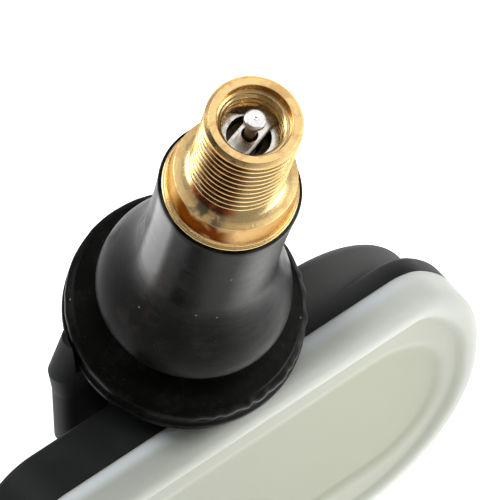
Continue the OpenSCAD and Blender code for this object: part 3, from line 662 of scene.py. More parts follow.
@dataclass(frozen=True)
class MilkyPlastic:
    """The cover's translucent plastic, bluish and lightened by painted light at its side wall, olive
    over the board, with painted shade at its ends.

    Attributes:
        rim: The colour of the rounded rim, where the plastic is thick.
        wall: The colour of the side wall beside the housing, bluish and lightened as painted light.
        shade: The painted shade that the plastic tends to at its left end and at the right end of its
            rim.
        seam: The colour of the line where the housing shows through.
        ledge: The colour of the sunk face.
        panel: The colour of the panel over the board.
        scatter: How far red, green and blue light spreads inside it, in millimetres.
        joint: Where the cover meets the housing, in millimetres towards the cover.
        levels: Where the panel and the sunk face lie.
        rim_width: How far in from the outline the rim's colour is whole and has gone.
        left: The X from which the shade grows, and the X at which it is whole, at the left.
        right: The same at the right.
        bluish: The X from which the wall's colour shows, and the X at which it is whole.
    """

    rim: Colour = (0.66, 0.685, 0.64)
    wall: Colour = (0.86, 0.91, 0.93)
    shade: Colour = (0.36, 0.375, 0.32)
    seam: Colour = (0.60, 0.62, 0.44)
    ledge: Colour = (0.50, 0.52, 0.43)
    panel: Colour = (0.43, 0.45, 0.34)
    scatter: Colour = (2.2, 2.2, 1.9)
    joint: float = 2.4
    levels: Point = (5.2, 5.5)
    rim_width: Point = (1.4, 3.1)
    left: Point = (14.0, -10.0)
    right: Point = (15.0, 24.0)
    bluish: Point = (22.0, 12.0)

    def make(self) -> bpy.types.Material:
        """Builds the material.

        Returns:
            The material.
        """
        recipe = Recipe("milky_plastic", Subsurface_Weight=0.8, Subsurface_Scale=MM,
                        Subsurface_Radius=self.scatter, Specular_IOR_Level=0.3)
        place = recipe.place()
        x, y, _ = recipe.split(place)
        depth = y * -1.0
        source = recipe.node("ShaderNodeAttribute",
                             {"attribute_name": "inset", "attribute_type": "GEOMETRY"})
        inset = recipe.signal(source, "Fac")
        cloud = recipe.noise(place, 0.12, 2.0, 0.5)
        sunk = recipe.smooth(depth, self.levels[0] + 0.05, self.levels[1] - 0.05)
        colour = recipe.mix(self.panel, self.ledge, sunk)
        colour = recipe.mix(colour, self.rim, recipe.smooth(inset, *reversed(self.rim_width)))
        # Painted shade towards the left end and at the right end.
        dim = recipe.smooth(x, *self.left) * 0.55 + recipe.smooth(x, *self.right) * 0.4
        colour = recipe.mix(colour, self.shade, dim)
        # Bluish side wall, lightened as painted light.
        side = recipe.smooth(depth, self.joint + 1.7, self.joint + 0.4)
        colour = recipe.mix(colour, self.wall, side * recipe.smooth(x, *self.bluish))
        line = recipe.smooth(depth, self.joint + 0.3, self.joint + 0.05)
        colour = recipe.mix(colour, self.seam, line * 0.7)
        recipe.feed("Base Color", recipe.mix(colour, self.rim, cloud * 0.1))
        recipe.feed("Roughness", 0.34 + 0.1 * cloud)
        recipe.bump(recipe.noise(place, 5.0, 2.0, 0.5), 0.004)
        return recipe.material


@dataclass(frozen=True)
class PinMetal:
    """The valve pin: a bright worn head on a bronze shank.

    Attributes:
        axis: The stem's axis.
        head: The head's colour.
        rim: The colour of the head's edge and of patches on the head.
        shank: The shank's colour.
        radii: The shank's and the head's radius.
        neck: The height at which the shank meets the head.
    """

    axis: StemAxis
    head: Colour = (0.93, 0.91, 0.89)
    rim: Colour = (0.42, 0.36, 0.31)
    shank: Colour = (0.36, 0.25, 0.14)
    radii: Point = (0.46, 0.86)
    neck: float = 36.95

    def make(self) -> bpy.types.Material:
        """Builds the material.

        Returns:
            The material.
        """
        recipe = Recipe("pin_metal", Metallic=1.0)
        about = recipe.about(self.axis)
        radius, _, height = recipe.round_about(about)
        cloud = recipe.noise(about, 2.2, 4.0, 0.6)
        side = recipe.smooth(radius, self.radii[1] - 0.07, self.radii[1] - 0.01)
        colour = recipe.mix(self.head, self.rim, side * 0.6 + recipe.smooth(cloud, 0.5, 0.75) * 0.3)
        below = recipe.smooth(height, self.neck, self.neck - 0.1)
        colour = recipe.mix(colour, self.shank, below * (radius < self.radii[0] + 0.06))
        recipe.feed("Base Color", colour)
        recipe.feed("Roughness", 0.3 + 0.15 * cloud)
        recipe.bump(cloud, 0.01)
        return recipe.material


@dataclass(frozen=True)
class PlainMetal:
    """A plated, drawn or turned metal with fine lines and a little wear.

    Attributes:
        name: The material's name.
        colour: Its colour.
        worn: Its colour where it is worn.
        roughness: Its roughness where it is bright.
    """

    name: str
    colour: Colour
    worn: Colour
    roughness: float = 0.25

    def make(self) -> bpy.types.Material:
        """Builds the material.

        Returns:
            The material.
        """
        recipe = Recipe(self.name, Metallic=1.0)
        place = recipe.place()
        cloud = recipe.noise(place, 1.5, 4.0, 0.6)
        lines = recipe.noise(place, 16.0, 2.0, 0.6)
        wear = recipe.smooth(cloud, 0.45, 0.7)
        recipe.feed("Base Color", recipe.mix(self.colour, self.worn, wear * 0.7))
        recipe.feed("Roughness", self.roughness + 0.14 * wear + 0.06 * lines)
        recipe.bump(lines, 0.003)
        return recipe.material


class Bench:
    """The steps that every piece is modelled with."""

    @staticmethod
    def clear() -> None:
        """Leaves edit mode and deselects everything."""
        if bpy.context.object and bpy.context.object.mode != "OBJECT":
            bpy.ops.object.mode_set(mode="OBJECT")
        bpy.ops.object.select_all(action="DESELECT")

    @staticmethod
    def draw_line(name: str, places: Sequence[Vector]) -> bpy.types.Object:
        """Draws a line of edges through places, and stays in edit mode with all of it selected.

        Args:
            name: The piece's name.
            places: The line's points, in metres.

        Returns:
            The piece.
        """
        Bench.clear()
        bpy.ops.mesh.primitive_plane_add(size=MM, location=places[0])
        piece = bpy.context.object
        piece.name = name
        bpy.ops.object.mode_set(mode="EDIT")
        bpy.ops.mesh.select_mode(type="VERT")
        bpy.ops.mesh.select_all(action="SELECT")
        bpy.ops.mesh.merge(type="CENTER")
        for before, after in zip(places, places[1:]):
            bpy.ops.mesh.extrude_vertices_move(TRANSFORM_OT_translate={"value": after - before})
        bpy.ops.mesh.select_all(action="SELECT")
        return piece

    @staticmethod
    def close_up(piece: bpy.types.Object, angle: float = 40.0) -> bpy.types.Object:
        """Merges seams, turns the faces outwards, smooths the piece and puts it at the origin.

        Args:
            piece: The piece, in edit mode.
            angle: Edges sharper than this many degrees stay sharp.

        Returns:
            The piece.
        """
        bpy.ops.mesh.select_all(action="SELECT")
        bpy.ops.mesh.remove_doubles(threshold=MERGE)
        bpy.ops.mesh.select_all(action="SELECT")
        bpy.ops.mesh.normals_make_consistent(inside=False)
        bpy.ops.object.mode_set(mode="OBJECT")
        bpy.ops.object.transform_apply(location=True, rotation=True, scale=True)
        bpy.ops.object.shade_smooth_by_angle(angle=math.radians(angle))
        return piece

    @staticmethod
    def turn(name: str, axis: StemAxis, outline: Sequence[Point], steps: int,
             angle: float = 40.0, hollow: bool = True) -> bpy.types.Object:
        """Spins an outline about the stem's axis.

        Args:
            name: The piece's name.
            axis: The stem's axis.
            outline: Radii and heights, in millimetres.
            steps: Steps in the full turn.
            angle: Edges sharper than this many degrees stay sharp.
            hollow: Whether the outline closes on itself. Otherwise it starts and ends on the axis.

        Returns:
            The turned piece.
        """
        closed = [*outline, outline[0]] if hollow else list(outline)
        piece = Bench.draw_line(name, [axis.point(radius, height) for radius, height in closed])
        bpy.ops.mesh.spin(steps=steps, angle=FULL_TURN, center=axis.centre, axis=axis.up)
        return Bench.close_up(piece, angle)


def rounded(corners: Sequence[tuple[float, float, float]], step: float = 12.0) -> list[Point]:
    """Rounds the corners of an outline.

    Args:
        corners: Each corner's two coordinates and its radius. The first and last stay as they are.
        step: Degrees between two points of an arc.

    Returns:
        The outline's points.
    """
    made: list[Point] = [corners[0][:2]]
    for before, here, after in zip(corners, corners[1:], corners[2:]):
        corner = Vector(here[:2])
        back = Vector(before[:2]) - corner
        on = Vector(after[:2]) - corner
        turn = math.pi - back.angle(on)
        radius = here[2]
        if radius <= 0.0 or turn < 0.02:
            made.append(here[:2])
            continue
        reach = min(radius * math.tan(turn / 2), 0.49 * back.length, 0.49 * on.length)
        start = corner + back.normalized() * reach
        end = corner + on.normalized() * reach
        count = max(2, round(math.degrees(turn) / step))
        for i in range(count + 1):
            t = i / count
            bent = start * (1 - t) ** 2 + corner * 2 * t * (1 - t) + end * t ** 2
            made.append((bent.x, bent.y))
    made.append(corners[-1][:2])
    return made


def arc(centre: Point, radius: float, start: float, end: float, steps: int) -> list[Point]:
    """Draws an arc.

    Args:
        centre: Its centre.
        radius: Its radius.
        start: The angle of its first point, in degrees.
        end: The angle of its last point.
        steps: Its straight pieces.

    Returns:
        The arc's points.
    """
    angles = [math.radians(start + (end - start) * i / steps) for i in range(steps + 1)]
    return [(centre[0] + radius * math.cos(a), centre[1] + radius * math.sin(a)) for a in angles]


def rows(first: Point, last: Point, spacing: float) -> list[Point]:
    """Lays evenly spaced points from one place to another.

    Args:
        first: The first point.
        last: The last point, which is left out.
        spacing: The widest gap between two points.

    Returns:
        The points.
    """
    count = max(1, math.ceil(math.dist(first, last) / spacing))
    return [(first[0] + (last[0] - first[0]) * i / count, first[1] + (last[1] - first[1]) * i / count)
            for i in range(count)]


def dress(piece: bpy.types.Object, material: bpy.types.Material) -> bpy.types.Object:
    """Gives a piece one material.

    Args:
        piece: The piece.
        material: Its finish.

    Returns:
        The piece.
    """
    piece.data.materials.clear()
    piece.data.materials.append(material)
    return piece


@dataclass
class BrassStem:
    """The turned brass stem: foot, anchor, lip, shoulder, cap thread, mouth and stepped bore.

    Attributes:
        axis: The stem's axis.
        shank: The radius of the foot and of the shank inside the rubber.
        foot: The height of the foot's end.
        anchor: The radius of the ring that the rubber holds.
        lip: The radius of the lip on the rubber's top.
        wall: The radius of the shoulder's wall.
        relief: The radius of the relief below the thread.
        crest: The radius of the thread's crests.
        thread_start: The height at which the thread starts.
        thread_end: The height at which it has run out.
        run_out: The height over which it runs out.
        tip: The mouth's height.
        pitch: The rise of one turn of the thread.
        thread_depth: The thread's depth.
        mouth: The radius of the counterbore in the mouth.
        bore: The radius of the bore where the core's plug is screwed in.
        inner_pitch: The rise of one turn of the bore's thread.
        inner_depth: The depth of the bore's thread.
        inner_levels: The heights between which the bore is threaded.
        seat: The radius of the bore below the core's seat.
        hole: The radius of the hole through the foot.
        spacing: The gap between the rows that a thread is cut from.
        steps: Steps in the full turn.
    """

    axis: StemAxis
    shank: float = 3.3
    foot: float = -7.5
    anchor: float = 5.2
    lip: float = 5.42
    wall: float = 5.1
    relief: float = 3.42
    crest: float = 3.85
    thread_start: float = 28.4
    thread_end: float = 36.5
    run_out: float = 0.3
    tip: float = 37.1
    pitch: float = 0.794
    thread_depth: float = 0.43
    mouth: float = 2.92
    bore: float = 2.72
    inner_pitch: float = 0.705
    inner_depth: float = 0.3
    inner_levels: Point = (34.2, 36.25)
    seat: float = 2.15
    hole: float = 1.5
    spacing: float = 0.062
    steps: int = 144

    def outline(self) -> list[Point]:
        """Draws the section: up the outside, over the mouth and down the bore.

        Returns:
            The section's radii and heights.
        """
        low, high = self.inner_levels
        chamfer = self.tip - 0.35
        outside = rounded([
            (self.shank, self.foot, 0), (self.shank, -1.3, 0.1), (self.anchor, -0.9, 0.1),
            (self.anchor, 0.2, 0.1), (self.shank, 0.6, 0.1), (self.shank, 21.45, 1.0),
            (self.lip, 23.85, 0.1), (self.lip, 24.62, 0.14), (self.wall + 0.04, 24.66, 0.12),
            (self.wall, 25.0, 0.5), (self.wall - 0.08, 26.2, 0.6), (self.wall - 0.2, 27.28, 0.16),
            (self.crest + 0.1, 27.52, 0.8), (self.relief, 27.9, 0.3), (self.relief, 28.3, 0.1),
            (self.relief + 0.2, self.thread_start, 0)])
        thread = rows((self.crest, self.thread_start + 0.1), (self.crest, chamfer), self.spacing)
        mouth = rounded([
            (self.crest, chamfer, 0), (self.crest - 0.29, self.tip, 0.05),
            (self.mouth + 0.04, self.tip, 0.05), (self.mouth, self.tip - 0.05, 0.02),
            (self.mouth, high + 0.07, 0.06), (self.bore, high, 0)])
        inner = rows((self.bore, high - 0.01), (self.bore, low), self.spacing)
        below = [(self.bore, low), (self.bore, 29.9), (self.seat, 27.8), (self.seat, 21.6),
                 (self.hole, 20.8), (self.hole, self.foot)]
        return outside + thread + mouth + inner + below

    def thread_share(self, phase: float) -> float:
        """Gives the depth of a worn 60 degree thread, as a share of its full depth.

        Args:
            phase: Turns along the thread, of which only the fraction counts.

        Returns:
            Nothing on a crest and one in a root.
        """
        ramp = abs((phase % 1.0) * 2.0 - 1.0)
        return min(1.0, max(0.0, (ramp - 0.2) / 0.64)) ** 0.9

    def cut_threads(self, piece: bpy.types.Object) -> None:
        """Moves the rows of the two thread zones to their helices.

        Args:
            piece: The turned piece.
        """
        for vertex in piece.data.vertices:
            place = self.axis.local(vertex.co)
            radius, angle = math.hypot(place.x, place.y), math.atan2(place.y, place.x)
            turn = angle / FULL_TURN
            if self.thread_start + 0.05 < place.z < self.thread_end and radius > self.relief + 0.08:
                ends = min(place.z - self.thread_start, self.thread_end - place.z)
                fade = min(1.0, ends / self.run_out)
                share = self.thread_share(place.z / self.pitch - turn)
                cut = min(radius, self.crest - self.thread_depth * fade * share)
                vertex.co = self.axis.point(cut, place.z, angle)
            elif (self.inner_levels[0] < place.z < self.inner_levels[1]
                  and abs(radius - self.bore) < 0.1):
                share = self.thread_share(place.z / self.inner_pitch - turn)
                cut = self.bore - self.inner_depth * (1.0 - share)
                vertex.co = self.axis.point(cut, place.z, angle)
        piece.data.update()

    def build(self, material: bpy.types.Material) -> bpy.types.Object:
        """Models the stem and puts it in its node's place.

        Args:
            material: The brass.

        Returns:
            The piece.
        """
        piece = Bench.turn("brass_stem_turned", self.axis, self.outline(), self.steps, 35.0)
        self.cut_threads(piece)
        dress(piece, material)
        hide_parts("brass_stem")
        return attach(piece, "sensor")


@dataclass
class RubberStem:
    """The rubber moulded on the stem: flange, rim groove, bulb, waist and thin top lip.

    Attributes:
        axis: The stem's axis.
        bore: The radius of the brass that it is moulded on.
        anchor: The radius of the brass ring that it holds.
        flange: The radius of the flange's two ridges.
        notch: The radius between the ridges.
        flange_foot: The height of the flange's underside.
        groove: The radius of the groove that the rim sits in.
        groove_levels: The heights of the groove's two ends.
        bulb: The bulb's radius.
        bulb_level: The height of its widest place.
        waist: The neck's radius at the waist.
        waist_level: The waist's height.
        hollow: How much the neck is drawn in above the waist.
        top: The height of the top lip.
        top_radius: The top lip's radius.
        mouth: The radius inside the top lip.
        nibs: How many nibs of flash there can be round the flange's edge.
        nib_depth: The depth of the nicks between them.
        torn_side: The turn about the stem of the side that is torn most, in degrees.
        steps: Steps in the full turn.
        flank_steps: Straight pieces of the section's curve from the bulb to the waist.
        neck_steps: Straight pieces from the waist to the top.
        seed: The seed of the nibs' random draws.
    """

    axis: StemAxis
    bore: float = 3.32
    anchor: float = 5.22
    flange: float = 10.05
    notch: float = 9.75
    flange_foot: float = -2.4
    groove: float = 5.9
    groove_levels: Point = (1.4, 3.35)
    bulb: float = 8.03
    bulb_level: float = 4.1
    waist: float = 5.6
    waist_level: float = 12.9
    hollow: float = 0.14
    top: float = 24.4
    top_radius: float = 5.68
    mouth: float = 5.44
    nibs: int = 120
    nib_depth: float = 0.26
    torn_side: float = -72.0
    steps: int = 360
    flank_steps: int = 40
    neck_steps: int = 20
    seed: int = 11

    def outline(self) -> list[Point]:
        """Draws the section: out under the flange, up the outside and down on the brass.

        Returns:
            The section's radii and heights.
        """
        base = rounded([
            (self.bore, self.flange_foot, 0), (9.8, self.flange_foot, 0.25), (self.flange, -1.95, 0.4),
            (self.flange, -1.5, 0.3), (self.notch, -1.2, 0.25), (self.notch, -0.75, 0.25),
            (self.flange, -0.3, 0.35), (self.flange, 0.3, 0.5), (9.4, 0.8, 0.5), (6.4, 1.15, 0.4),
            (self.groove, self.groove_levels[0], 0.3), (self.groove, self.groove_levels[1], 0.3),
            (7.2, 3.5, 0.3), (7.9, 3.75, 0.4), (self.bulb, self.bulb_level, 0)], 10.0)
        swell = (self.bulb - self.waist) / 2
        height = self.waist_level - self.bulb_level
        shares = [(i + 1) / self.flank_steps for i in range(self.flank_steps)]
        flank = [(self.waist + swell * (1 + math.cos(math.pi * share)),
                  self.bulb_level + height * share) for share in shares]
        rise = self.top_radius - self.waist + self.hollow
        height = self.top - 0.15 - self.waist_level
        shares = [(i + 1) / self.neck_steps for i in range(self.neck_steps)]
        neck = [(self.waist - self.hollow * math.sin(math.pi / 2 * share) + rise * share ** 3,
                 self.waist_level + height * share) for share in shares]
        lip = [(self.top_radius - 0.03, self.top - 0.04), (self.top_radius - 0.12, self.top),
               (self.mouth + 0.02, self.top - 0.01), (self.mouth, self.top - 0.06)]
        inside = [(self.mouth, 23.85), (self.bore, 21.45), (self.bore, 0.62), (self.anchor, 0.22),
                  (self.anchor, -0.92), (self.bore, -1.32)]
        return base + flank + neck + lip + inside

    def roughen(self, piece: bpy.types.Object) -> None:
        """Leaves flash nibs on the flange's upper edge.

        Args:
            piece: The turned piece.
        """
        dice = random.Random(self.seed)
        nibs = [dice.uniform(0.0, 1.0) for _ in range(self.nibs)]
        for vertex in piece.data.vertices:
            place = self.axis.local(vertex.co)
            radius, angle = math.hypot(place.x, place.y), math.atan2(place.y, place.x)
            if radius > self.notch - 0.05 and place.z > -0.8:
                turn = (angle % FULL_TURN) / FULL_TURN * self.nibs
                index, share = int(turn), turn - int(turn)
                depth = nibs[index % self.nibs] * (1 - share) + nibs[(index + 1) % self.nibs] * share
                torn = max(0.0, math.cos(angle - math.radians(self.torn_side)))
                cut = self.nib_depth * (0.2 + 0.8 * torn ** 2) * depth
                vertex.co = self.axis.point(radius - cut, place.z, angle)
        piece.data.update()

    def build(self, material: bpy.types.Material) -> bpy.types.Object:
        """Models the rubber and puts it in its node's place.

        Args:
            material: The rubber.

        Returns:
            The piece.
        """
        piece = Bench.turn("rubber_stem_moulded", self.axis, self.outline(), self.steps, 50.0)
        self.roughen(piece)
        dress(piece, material)
        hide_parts("rubber_stem")
        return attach(piece, "sensor")


class Change(Enum):
    """What one piece does to another."""

    JOIN = "UNION"
    CUT = "DIFFERENCE"
    TRIM = "INTERSECT"


@dataclass
class ValveCore:
    """The valve core in the bore: plug with its bridge, pin with its head, and spring.

    Depths are counted down from the mouth, in millimetres.

    Attributes:
        axis: The stem's axis.
        mouth: The mouth's height.
        plug_radius: The plug's radius.
        plug_bore: The radius of its bore.
        plug_depth: The depth of its top.
        plug_end: The depth of its foot.
        plug_round: The width of its rounded edges.
        bridge_width: The width of the bridge across it.
        bridge_depth: The depth of the bridge's top.
        bridge_thickness: The bridge's thickness.
        bridge_hole: The radius of the hole for the pin.
        bridge_turn: The bridge's turn about the stem, in degrees.
        head_radius: The radius of the pin's head.
        head_height: The height of the head down to the shank.
        pin_radius: The shank's radius.
        pin_rise: How far the head stands above the mouth.
        pin_end: The depth of the pin's foot.
        wing_radius: The radius of the stop's wing.
        wing_width: Its width.
        stop_depth: The depth of its top.
        stop_length: Its thickness.
        spring_radius: The radius of the coil.
        spring_wire: The radius of its wire.
        spring_turns: The coil's turns.
        spring_end: The depth that it stands on.
        travel: How far the pin goes down.
        play: The gap between the coil and what it touches.
        over: How far a cutter reaches past what it cuts.
        steps: Sides of a cylinder.
        pin_steps: Sides of the pin.
        wire_sides: Sides of the spring's wire.
        coil_steps: Straight pieces in one turn of the spring.
    """

    axis: StemAxis
    mouth: float = 37.1
    plug_radius: float = 2.64
    plug_bore: float = 1.75
    plug_depth: float = 3.0
    plug_end: float = 6.4
    plug_round: float = 0.09
    bridge_width: float = 1.9
    bridge_depth: float = 2.6
    bridge_thickness: float = 0.9
    bridge_hole: float = 0.65
    bridge_turn: float = 106.0
    head_radius: float = 0.86
    head_height: float = 0.58
    pin_radius: float = 0.46
    pin_rise: float = 0.35
    pin_end: float = 12.38
    wing_radius: float = 1.09
    wing_width: float = 1.24
    stop_depth: float = 4.3
    stop_length: float = 0.5
    spring_radius: float = 0.8
    spring_wire: float = 0.13
    spring_turns: int = 8
    spring_end: float = 9.8
    travel: float = 1.4
    play: float = 0.02
    over: float = 0.5
    steps: int = 96
    pin_steps: int = 64
    wire_sides: int = 12
    coil_steps: int = 28

    def set_down(self, piece: bpy.types.Object, turn: float = 0.0) -> None:
        """Stands a piece that was modelled about the world's Z on the stem, its origin at the mouth.

        Args:
            piece: The piece.
            turn: Its turn about the stem, in degrees.
        """
        Bench.clear()
        piece.select_set(True)
        bpy.context.view_layer.objects.active = piece
        piece.matrix_world = (Matrix.Translation(self.axis.point(0.0, self.mouth))
                              @ Matrix.Rotation(self.axis.lean, 4, "X")
                              @ Matrix.Rotation(math.radians(turn), 4, "Z"))
        bpy.ops.object.transform_apply(location=True, rotation=True, scale=True)

    def change(self, piece: bpy.types.Object, tool: bpy.types.Object, kind: Change) -> None:
        """Joins, cuts or trims a piece with a tool, which goes.

        Args:
            piece: The piece that stays.
            tool: The other piece.
            kind: What the tool does to it.
        """
        Bench.clear()
        bpy.context.view_layer.objects.active = piece
        modifier = piece.modifiers.new("change", "BOOLEAN")
        modifier.operation = kind.value
        modifier.solver = "EXACT"
        modifier.object = tool
        bpy.ops.object.modifier_apply(modifier=modifier.name)
        bpy.data.objects.remove(tool, do_unlink=True)

    def round_edges(self, piece: bpy.types.Object, width: float) -> None:
        """Bevels a piece's sharp edges and smooths the rest.

        Args:
            piece: The piece.
            width: The bevels' width in millimetres.
        """
        Bench.clear()
        piece.select_set(True)
        bpy.context.view_layer.objects.active = piece
        bevel = piece.modifiers.new("edges", "BEVEL")
        bevel.width = width * MM
        bevel.segments = 3
        bevel.limit_method = "ANGLE"
        bevel.angle_limit = math.radians(35.0)
        bpy.ops.object.modifier_apply(modifier=bevel.name)
        bpy.ops.object.shade_smooth_by_angle(angle=math.radians(40.0))

    def cylinder(self, radius: float, top: float, bottom: float) -> bpy.types.Object:
        """Makes a cylinder between two depths, about the world's Z.

        Args:
            radius: Its radius in millimetres.
            top: The depth of its top.
            bottom: The depth of its foot.

        Returns:
            The cylinder.
        """
        Bench.clear()
        bpy.ops.mesh.primitive_cylinder_add(
            vertices=self.steps, radius=radius * MM, depth=(bottom - top) * MM,
            location=(0.0, 0.0, -(top + bottom) / 2 * MM))
        piece = bpy.context.object
        bpy.ops.object.transform_apply(location=True, rotation=True, scale=True)
        return piece

    def cutter(self, radius: float, top: float, bottom: float) -> bpy.types.Object:
        """Makes a cylinder that reaches past both depths."""
        return self.cylinder(radius, top - self.over, bottom + self.over)

    def bar(self, length: float, width: float, top: float, bottom: float) -> bpy.types.Object:
        """Makes a flat bar between two depths, about the world's Z.

        Args:
            length: Its length along X, in millimetres.
            width: Its width along Y.
            top: The depth of its top.
            bottom: The depth of its foot.

        Returns:
            The bar.
        """
        Bench.clear()
        bpy.ops.mesh.primitive_cube_add(size=1.0, location=(0.0, 0.0, -(top + bottom) / 2 * MM))
        piece = bpy.context.object
        piece.scale = (length * MM, width * MM, (bottom - top) * MM)
        bpy.ops.object.transform_apply(location=True, rotation=True, scale=True)
        return piece

    def plug(self) -> bpy.types.Object:
        """Models the plug and the drilled bridge across it.

        Returns:
            The plug.
        """
        top, under = self.bridge_depth, self.bridge_depth + self.bridge_thickness
        piece = self.cylinder(self.plug_radius, self.plug_depth, self.plug_end)
        piece.name = "core_plug_turned"
        self.change(piece, self.cutter(self.plug_bore, self.plug_depth, self.plug_end), Change.CUT)
        bridge = self.bar(2 * (self.plug_radius + self.over), self.bridge_width, top, under)
        self.change(bridge, self.cutter(self.plug_radius - 2 * MERGE / MM, top, under), Change.TRIM)
        self.change(piece, bridge, Change.JOIN)
        self.change(piece, self.cutter(self.bridge_hole, top, under), Change.CUT)
        self.round_edges(piece, self.plug_round)
        self.set_down(piece, self.bridge_turn + 90.0)
        return piece

    def pin(self) -> bpy.types.Object:
        """Models the pin: crowned, dimpled head, shank, and the stop's wing.

        Returns:
            The pin.
        """
        top = self.mouth + self.pin_rise
        foot = self.mouth - self.pin_end
        outline = rounded([
            (0.0, top - 0.09, 0), (0.07, top - 0.08, 0.03), (0.16, top - 0.005, 0.05),
            (self.head_radius - 0.14, top - 0.02, 0.1), (self.head_radius, top - 0.13, 0.1),
            (self.head_radius, top - self.head_height + 0.08, 0.06),
            (self.pin_radius, top - self.head_height, 0.06), (self.pin_radius, foot + 0.05, 0)], 15.0)
        outline.append((0.0, foot))
        piece = Bench.turn("core_pin_headed", self.axis, outline, self.pin_steps, 40.0, False)
        end = self.stop_depth + self.stop_length
        wing = self.bar(2 * (self.wing_radius + self.over), self.wing_width, self.stop_depth, end)
        self.change(wing, self.cutter(self.wing_radius, self.stop_depth, end), Change.TRIM)
        self.set_down(wing)
        self.change(piece, wing, Change.JOIN)
        return piece

    def spring(self) -> bpy.types.Object:
        """Models the spring as a smooth helix between the pin's stop and the barrel's web.

        Returns:
            The spring.
        """
        start = self.stop_depth + self.stop_length + self.spring_wire + self.play
        rise = self.spring_end - self.spring_wire - self.play - start
        Bench.clear()
        bpy.ops.mesh.primitive_circle_add(
            vertices=self.wire_sides, radius=self.spring_wire * MM, fill_type="NGON",
            location=(self.spring_radius * MM, 0.0, -start * MM), rotation=(math.pi / 2, 0.0, 0.0))
        piece = bpy.context.object
        piece.name = "core_spring_coiled"
        bpy.ops.object.transform_apply(location=True, rotation=True, scale=True)
        steps = self.coil_steps * self.spring_turns
        down = (0.0, 0.0, -rise / steps * MM)
        bpy.ops.object.mode_set(mode="EDIT")
        bpy.ops.mesh.select_mode(type="FACE")
        bpy.ops.mesh.select_all(action="SELECT")
        for _ in range(steps):
            bpy.ops.mesh.extrude_region_move(TRANSFORM_OT_translate={"value": down})
            bpy.ops.transform.rotate(value=FULL_TURN * self.spring_turns / steps, orient_axis="Z",
                                     center_override=(0.0, 0.0, 0.0))
        Bench.close_up(piece, 60.0)
        self.set_down(piece)
        return piece

    def build(self, nickel: bpy.types.Material, pin_metal: bpy.types.Material,
              steel: bpy.types.Material) -> list[bpy.types.Object]:
        """Models the core and puts its pieces in their nodes' places.

        Args:
            nickel: The finish of the plug.
            pin_metal: The finish of the pin.
            steel: The finish of the spring.

        Returns:
            The pieces.
        """
        plug = dress(self.plug(), nickel)
        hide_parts("core_plug")
        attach(plug, "sensor")
        pin = dress(self.pin(), pin_metal)
        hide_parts("core_pin")
        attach(pin, "valve_pin")
        spring = dress(self.spring(), steel)
        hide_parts("core_spring")
        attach(spring, "sensor")
        length = self.spring_end - self.stop_depth - self.stop_length
        anchor = tuple(self.axis.point(0.0, self.mouth - self.spring_end))
        (length - self.travel) / length
        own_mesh(spring)
        return [plug, pin, spring]


@dataclass(frozen=True)
class Leg:
    """One leg of a sweep: a straight run and the turn at its end.

    Attributes:
        run: How far it goes along X and Z, in millimetres.
        centre: The X and Z that it then turns about.
        turn: The clockwise turn, in degrees, seen from the cover.
    """

    run: Point
    centre: Point
    turn: float


@dataclass
class BodyOutline:
    """The body's outline: a straight top, a tight blend into each round end, and a straight foot.

    Attributes:
        half_length: Half of the body's length.
        height: The body's height.
        end_radius: The radius of its round ends.
        blend_radius: The radius of the blend between an end and the top.
        blend_shift: How far outside an end's centre the blend's centre lies.
        blend_rise: How far above it.
    """

    half_length: float = 24.6
    height: float = 27.5
    end_radius: float = 14.0
    blend_radius: float = 5.3
    blend_shift: float = 6.0
    blend_rise: float = 6.3

    def __post_init__(self) -> None:
        """Works out the centres of the arcs."""
        self.end_x = self.half_length - self.end_radius
        self.blend_x = self.end_x + self.blend_shift
        self.blend_z = self.height - self.blend_radius
        self.end_z = self.blend_z - self.blend_rise
        self.share = math.degrees(math.atan2(self.blend_rise, self.blend_shift))

    def legs(self) -> list[Leg]:
        """Gives the legs clockwise from the top's left end.

        Returns:
            The legs.
        """
        upright = self.end_z - self.end_radius
        still = (0.0, 0.0)
        right = [Leg((2 * self.blend_x, 0.0), (self.blend_x, self.blend_z), 90.0 - self.share),
                 Leg(still, (self.end_x, self.end_z), self.share),
                 Leg((0.0, -upright), (self.end_x, self.end_radius), 90.0)]
        left = [Leg((-2 * self.end_x, 0.0), (-self.end_x, self.end_radius), 90.0),
                Leg((0.0, upright), (-self.end_x, self.end_z), self.share),
                Leg(still, (-self.blend_x, self.blend_z), 90.0 - self.share)]
        return right + left

    def inset(self, x: float, z: float) -> float:
        """Measures how far a place lies inside the outline.

        Args:
            x: The place's X in millimetres.
            z: Its Z.

        Returns:
            The distance in millimetres.
        """
        across = abs(x)
        over = across - self.end_x
        if over > 0.0 and z < self.end_radius:
            return self.end_radius - math.hypot(over, self.end_radius - z)
        if over > 0.0 and z > self.end_z:
            lift = math.degrees(math.atan2(z - self.end_z, over))
            if lift < self.share:
                return self.end_radius - math.hypot(over, z - self.end_z)
            if across > self.blend_x:
                return self.blend_radius - math.hypot(across - self.blend_x, z - self.blend_z)
        return min(z, self.height - z, self.half_length - across)


@dataclass
class PanelOutline:
    """The outline of the panel that is sunk into the cover's face.

    Attributes:
        half_length: Half of its length.
        foot: The height of its lower edge.
        top: The height of its upper edge.
        corner: The radius of its corners.
    """

    half_length: float = 20.2
    foot: float = 6.0
    top: float = 22.4
    corner: float = 7.5

    def legs(self) -> list[Leg]:
        """Gives the legs clockwise from the top's left end.

        Returns:
            The legs.
        """
        x = self.half_length - self.corner
        low, high = self.foot + self.corner, self.top - self.corner
        return [Leg((2 * x, 0.0), (x, high), 90.0), Leg((0.0, low - high), (x, low), 90.0),
                Leg((-2 * x, 0.0), (-x, low), 90.0), Leg((0.0, high - low), (-x, high), 90.0)]


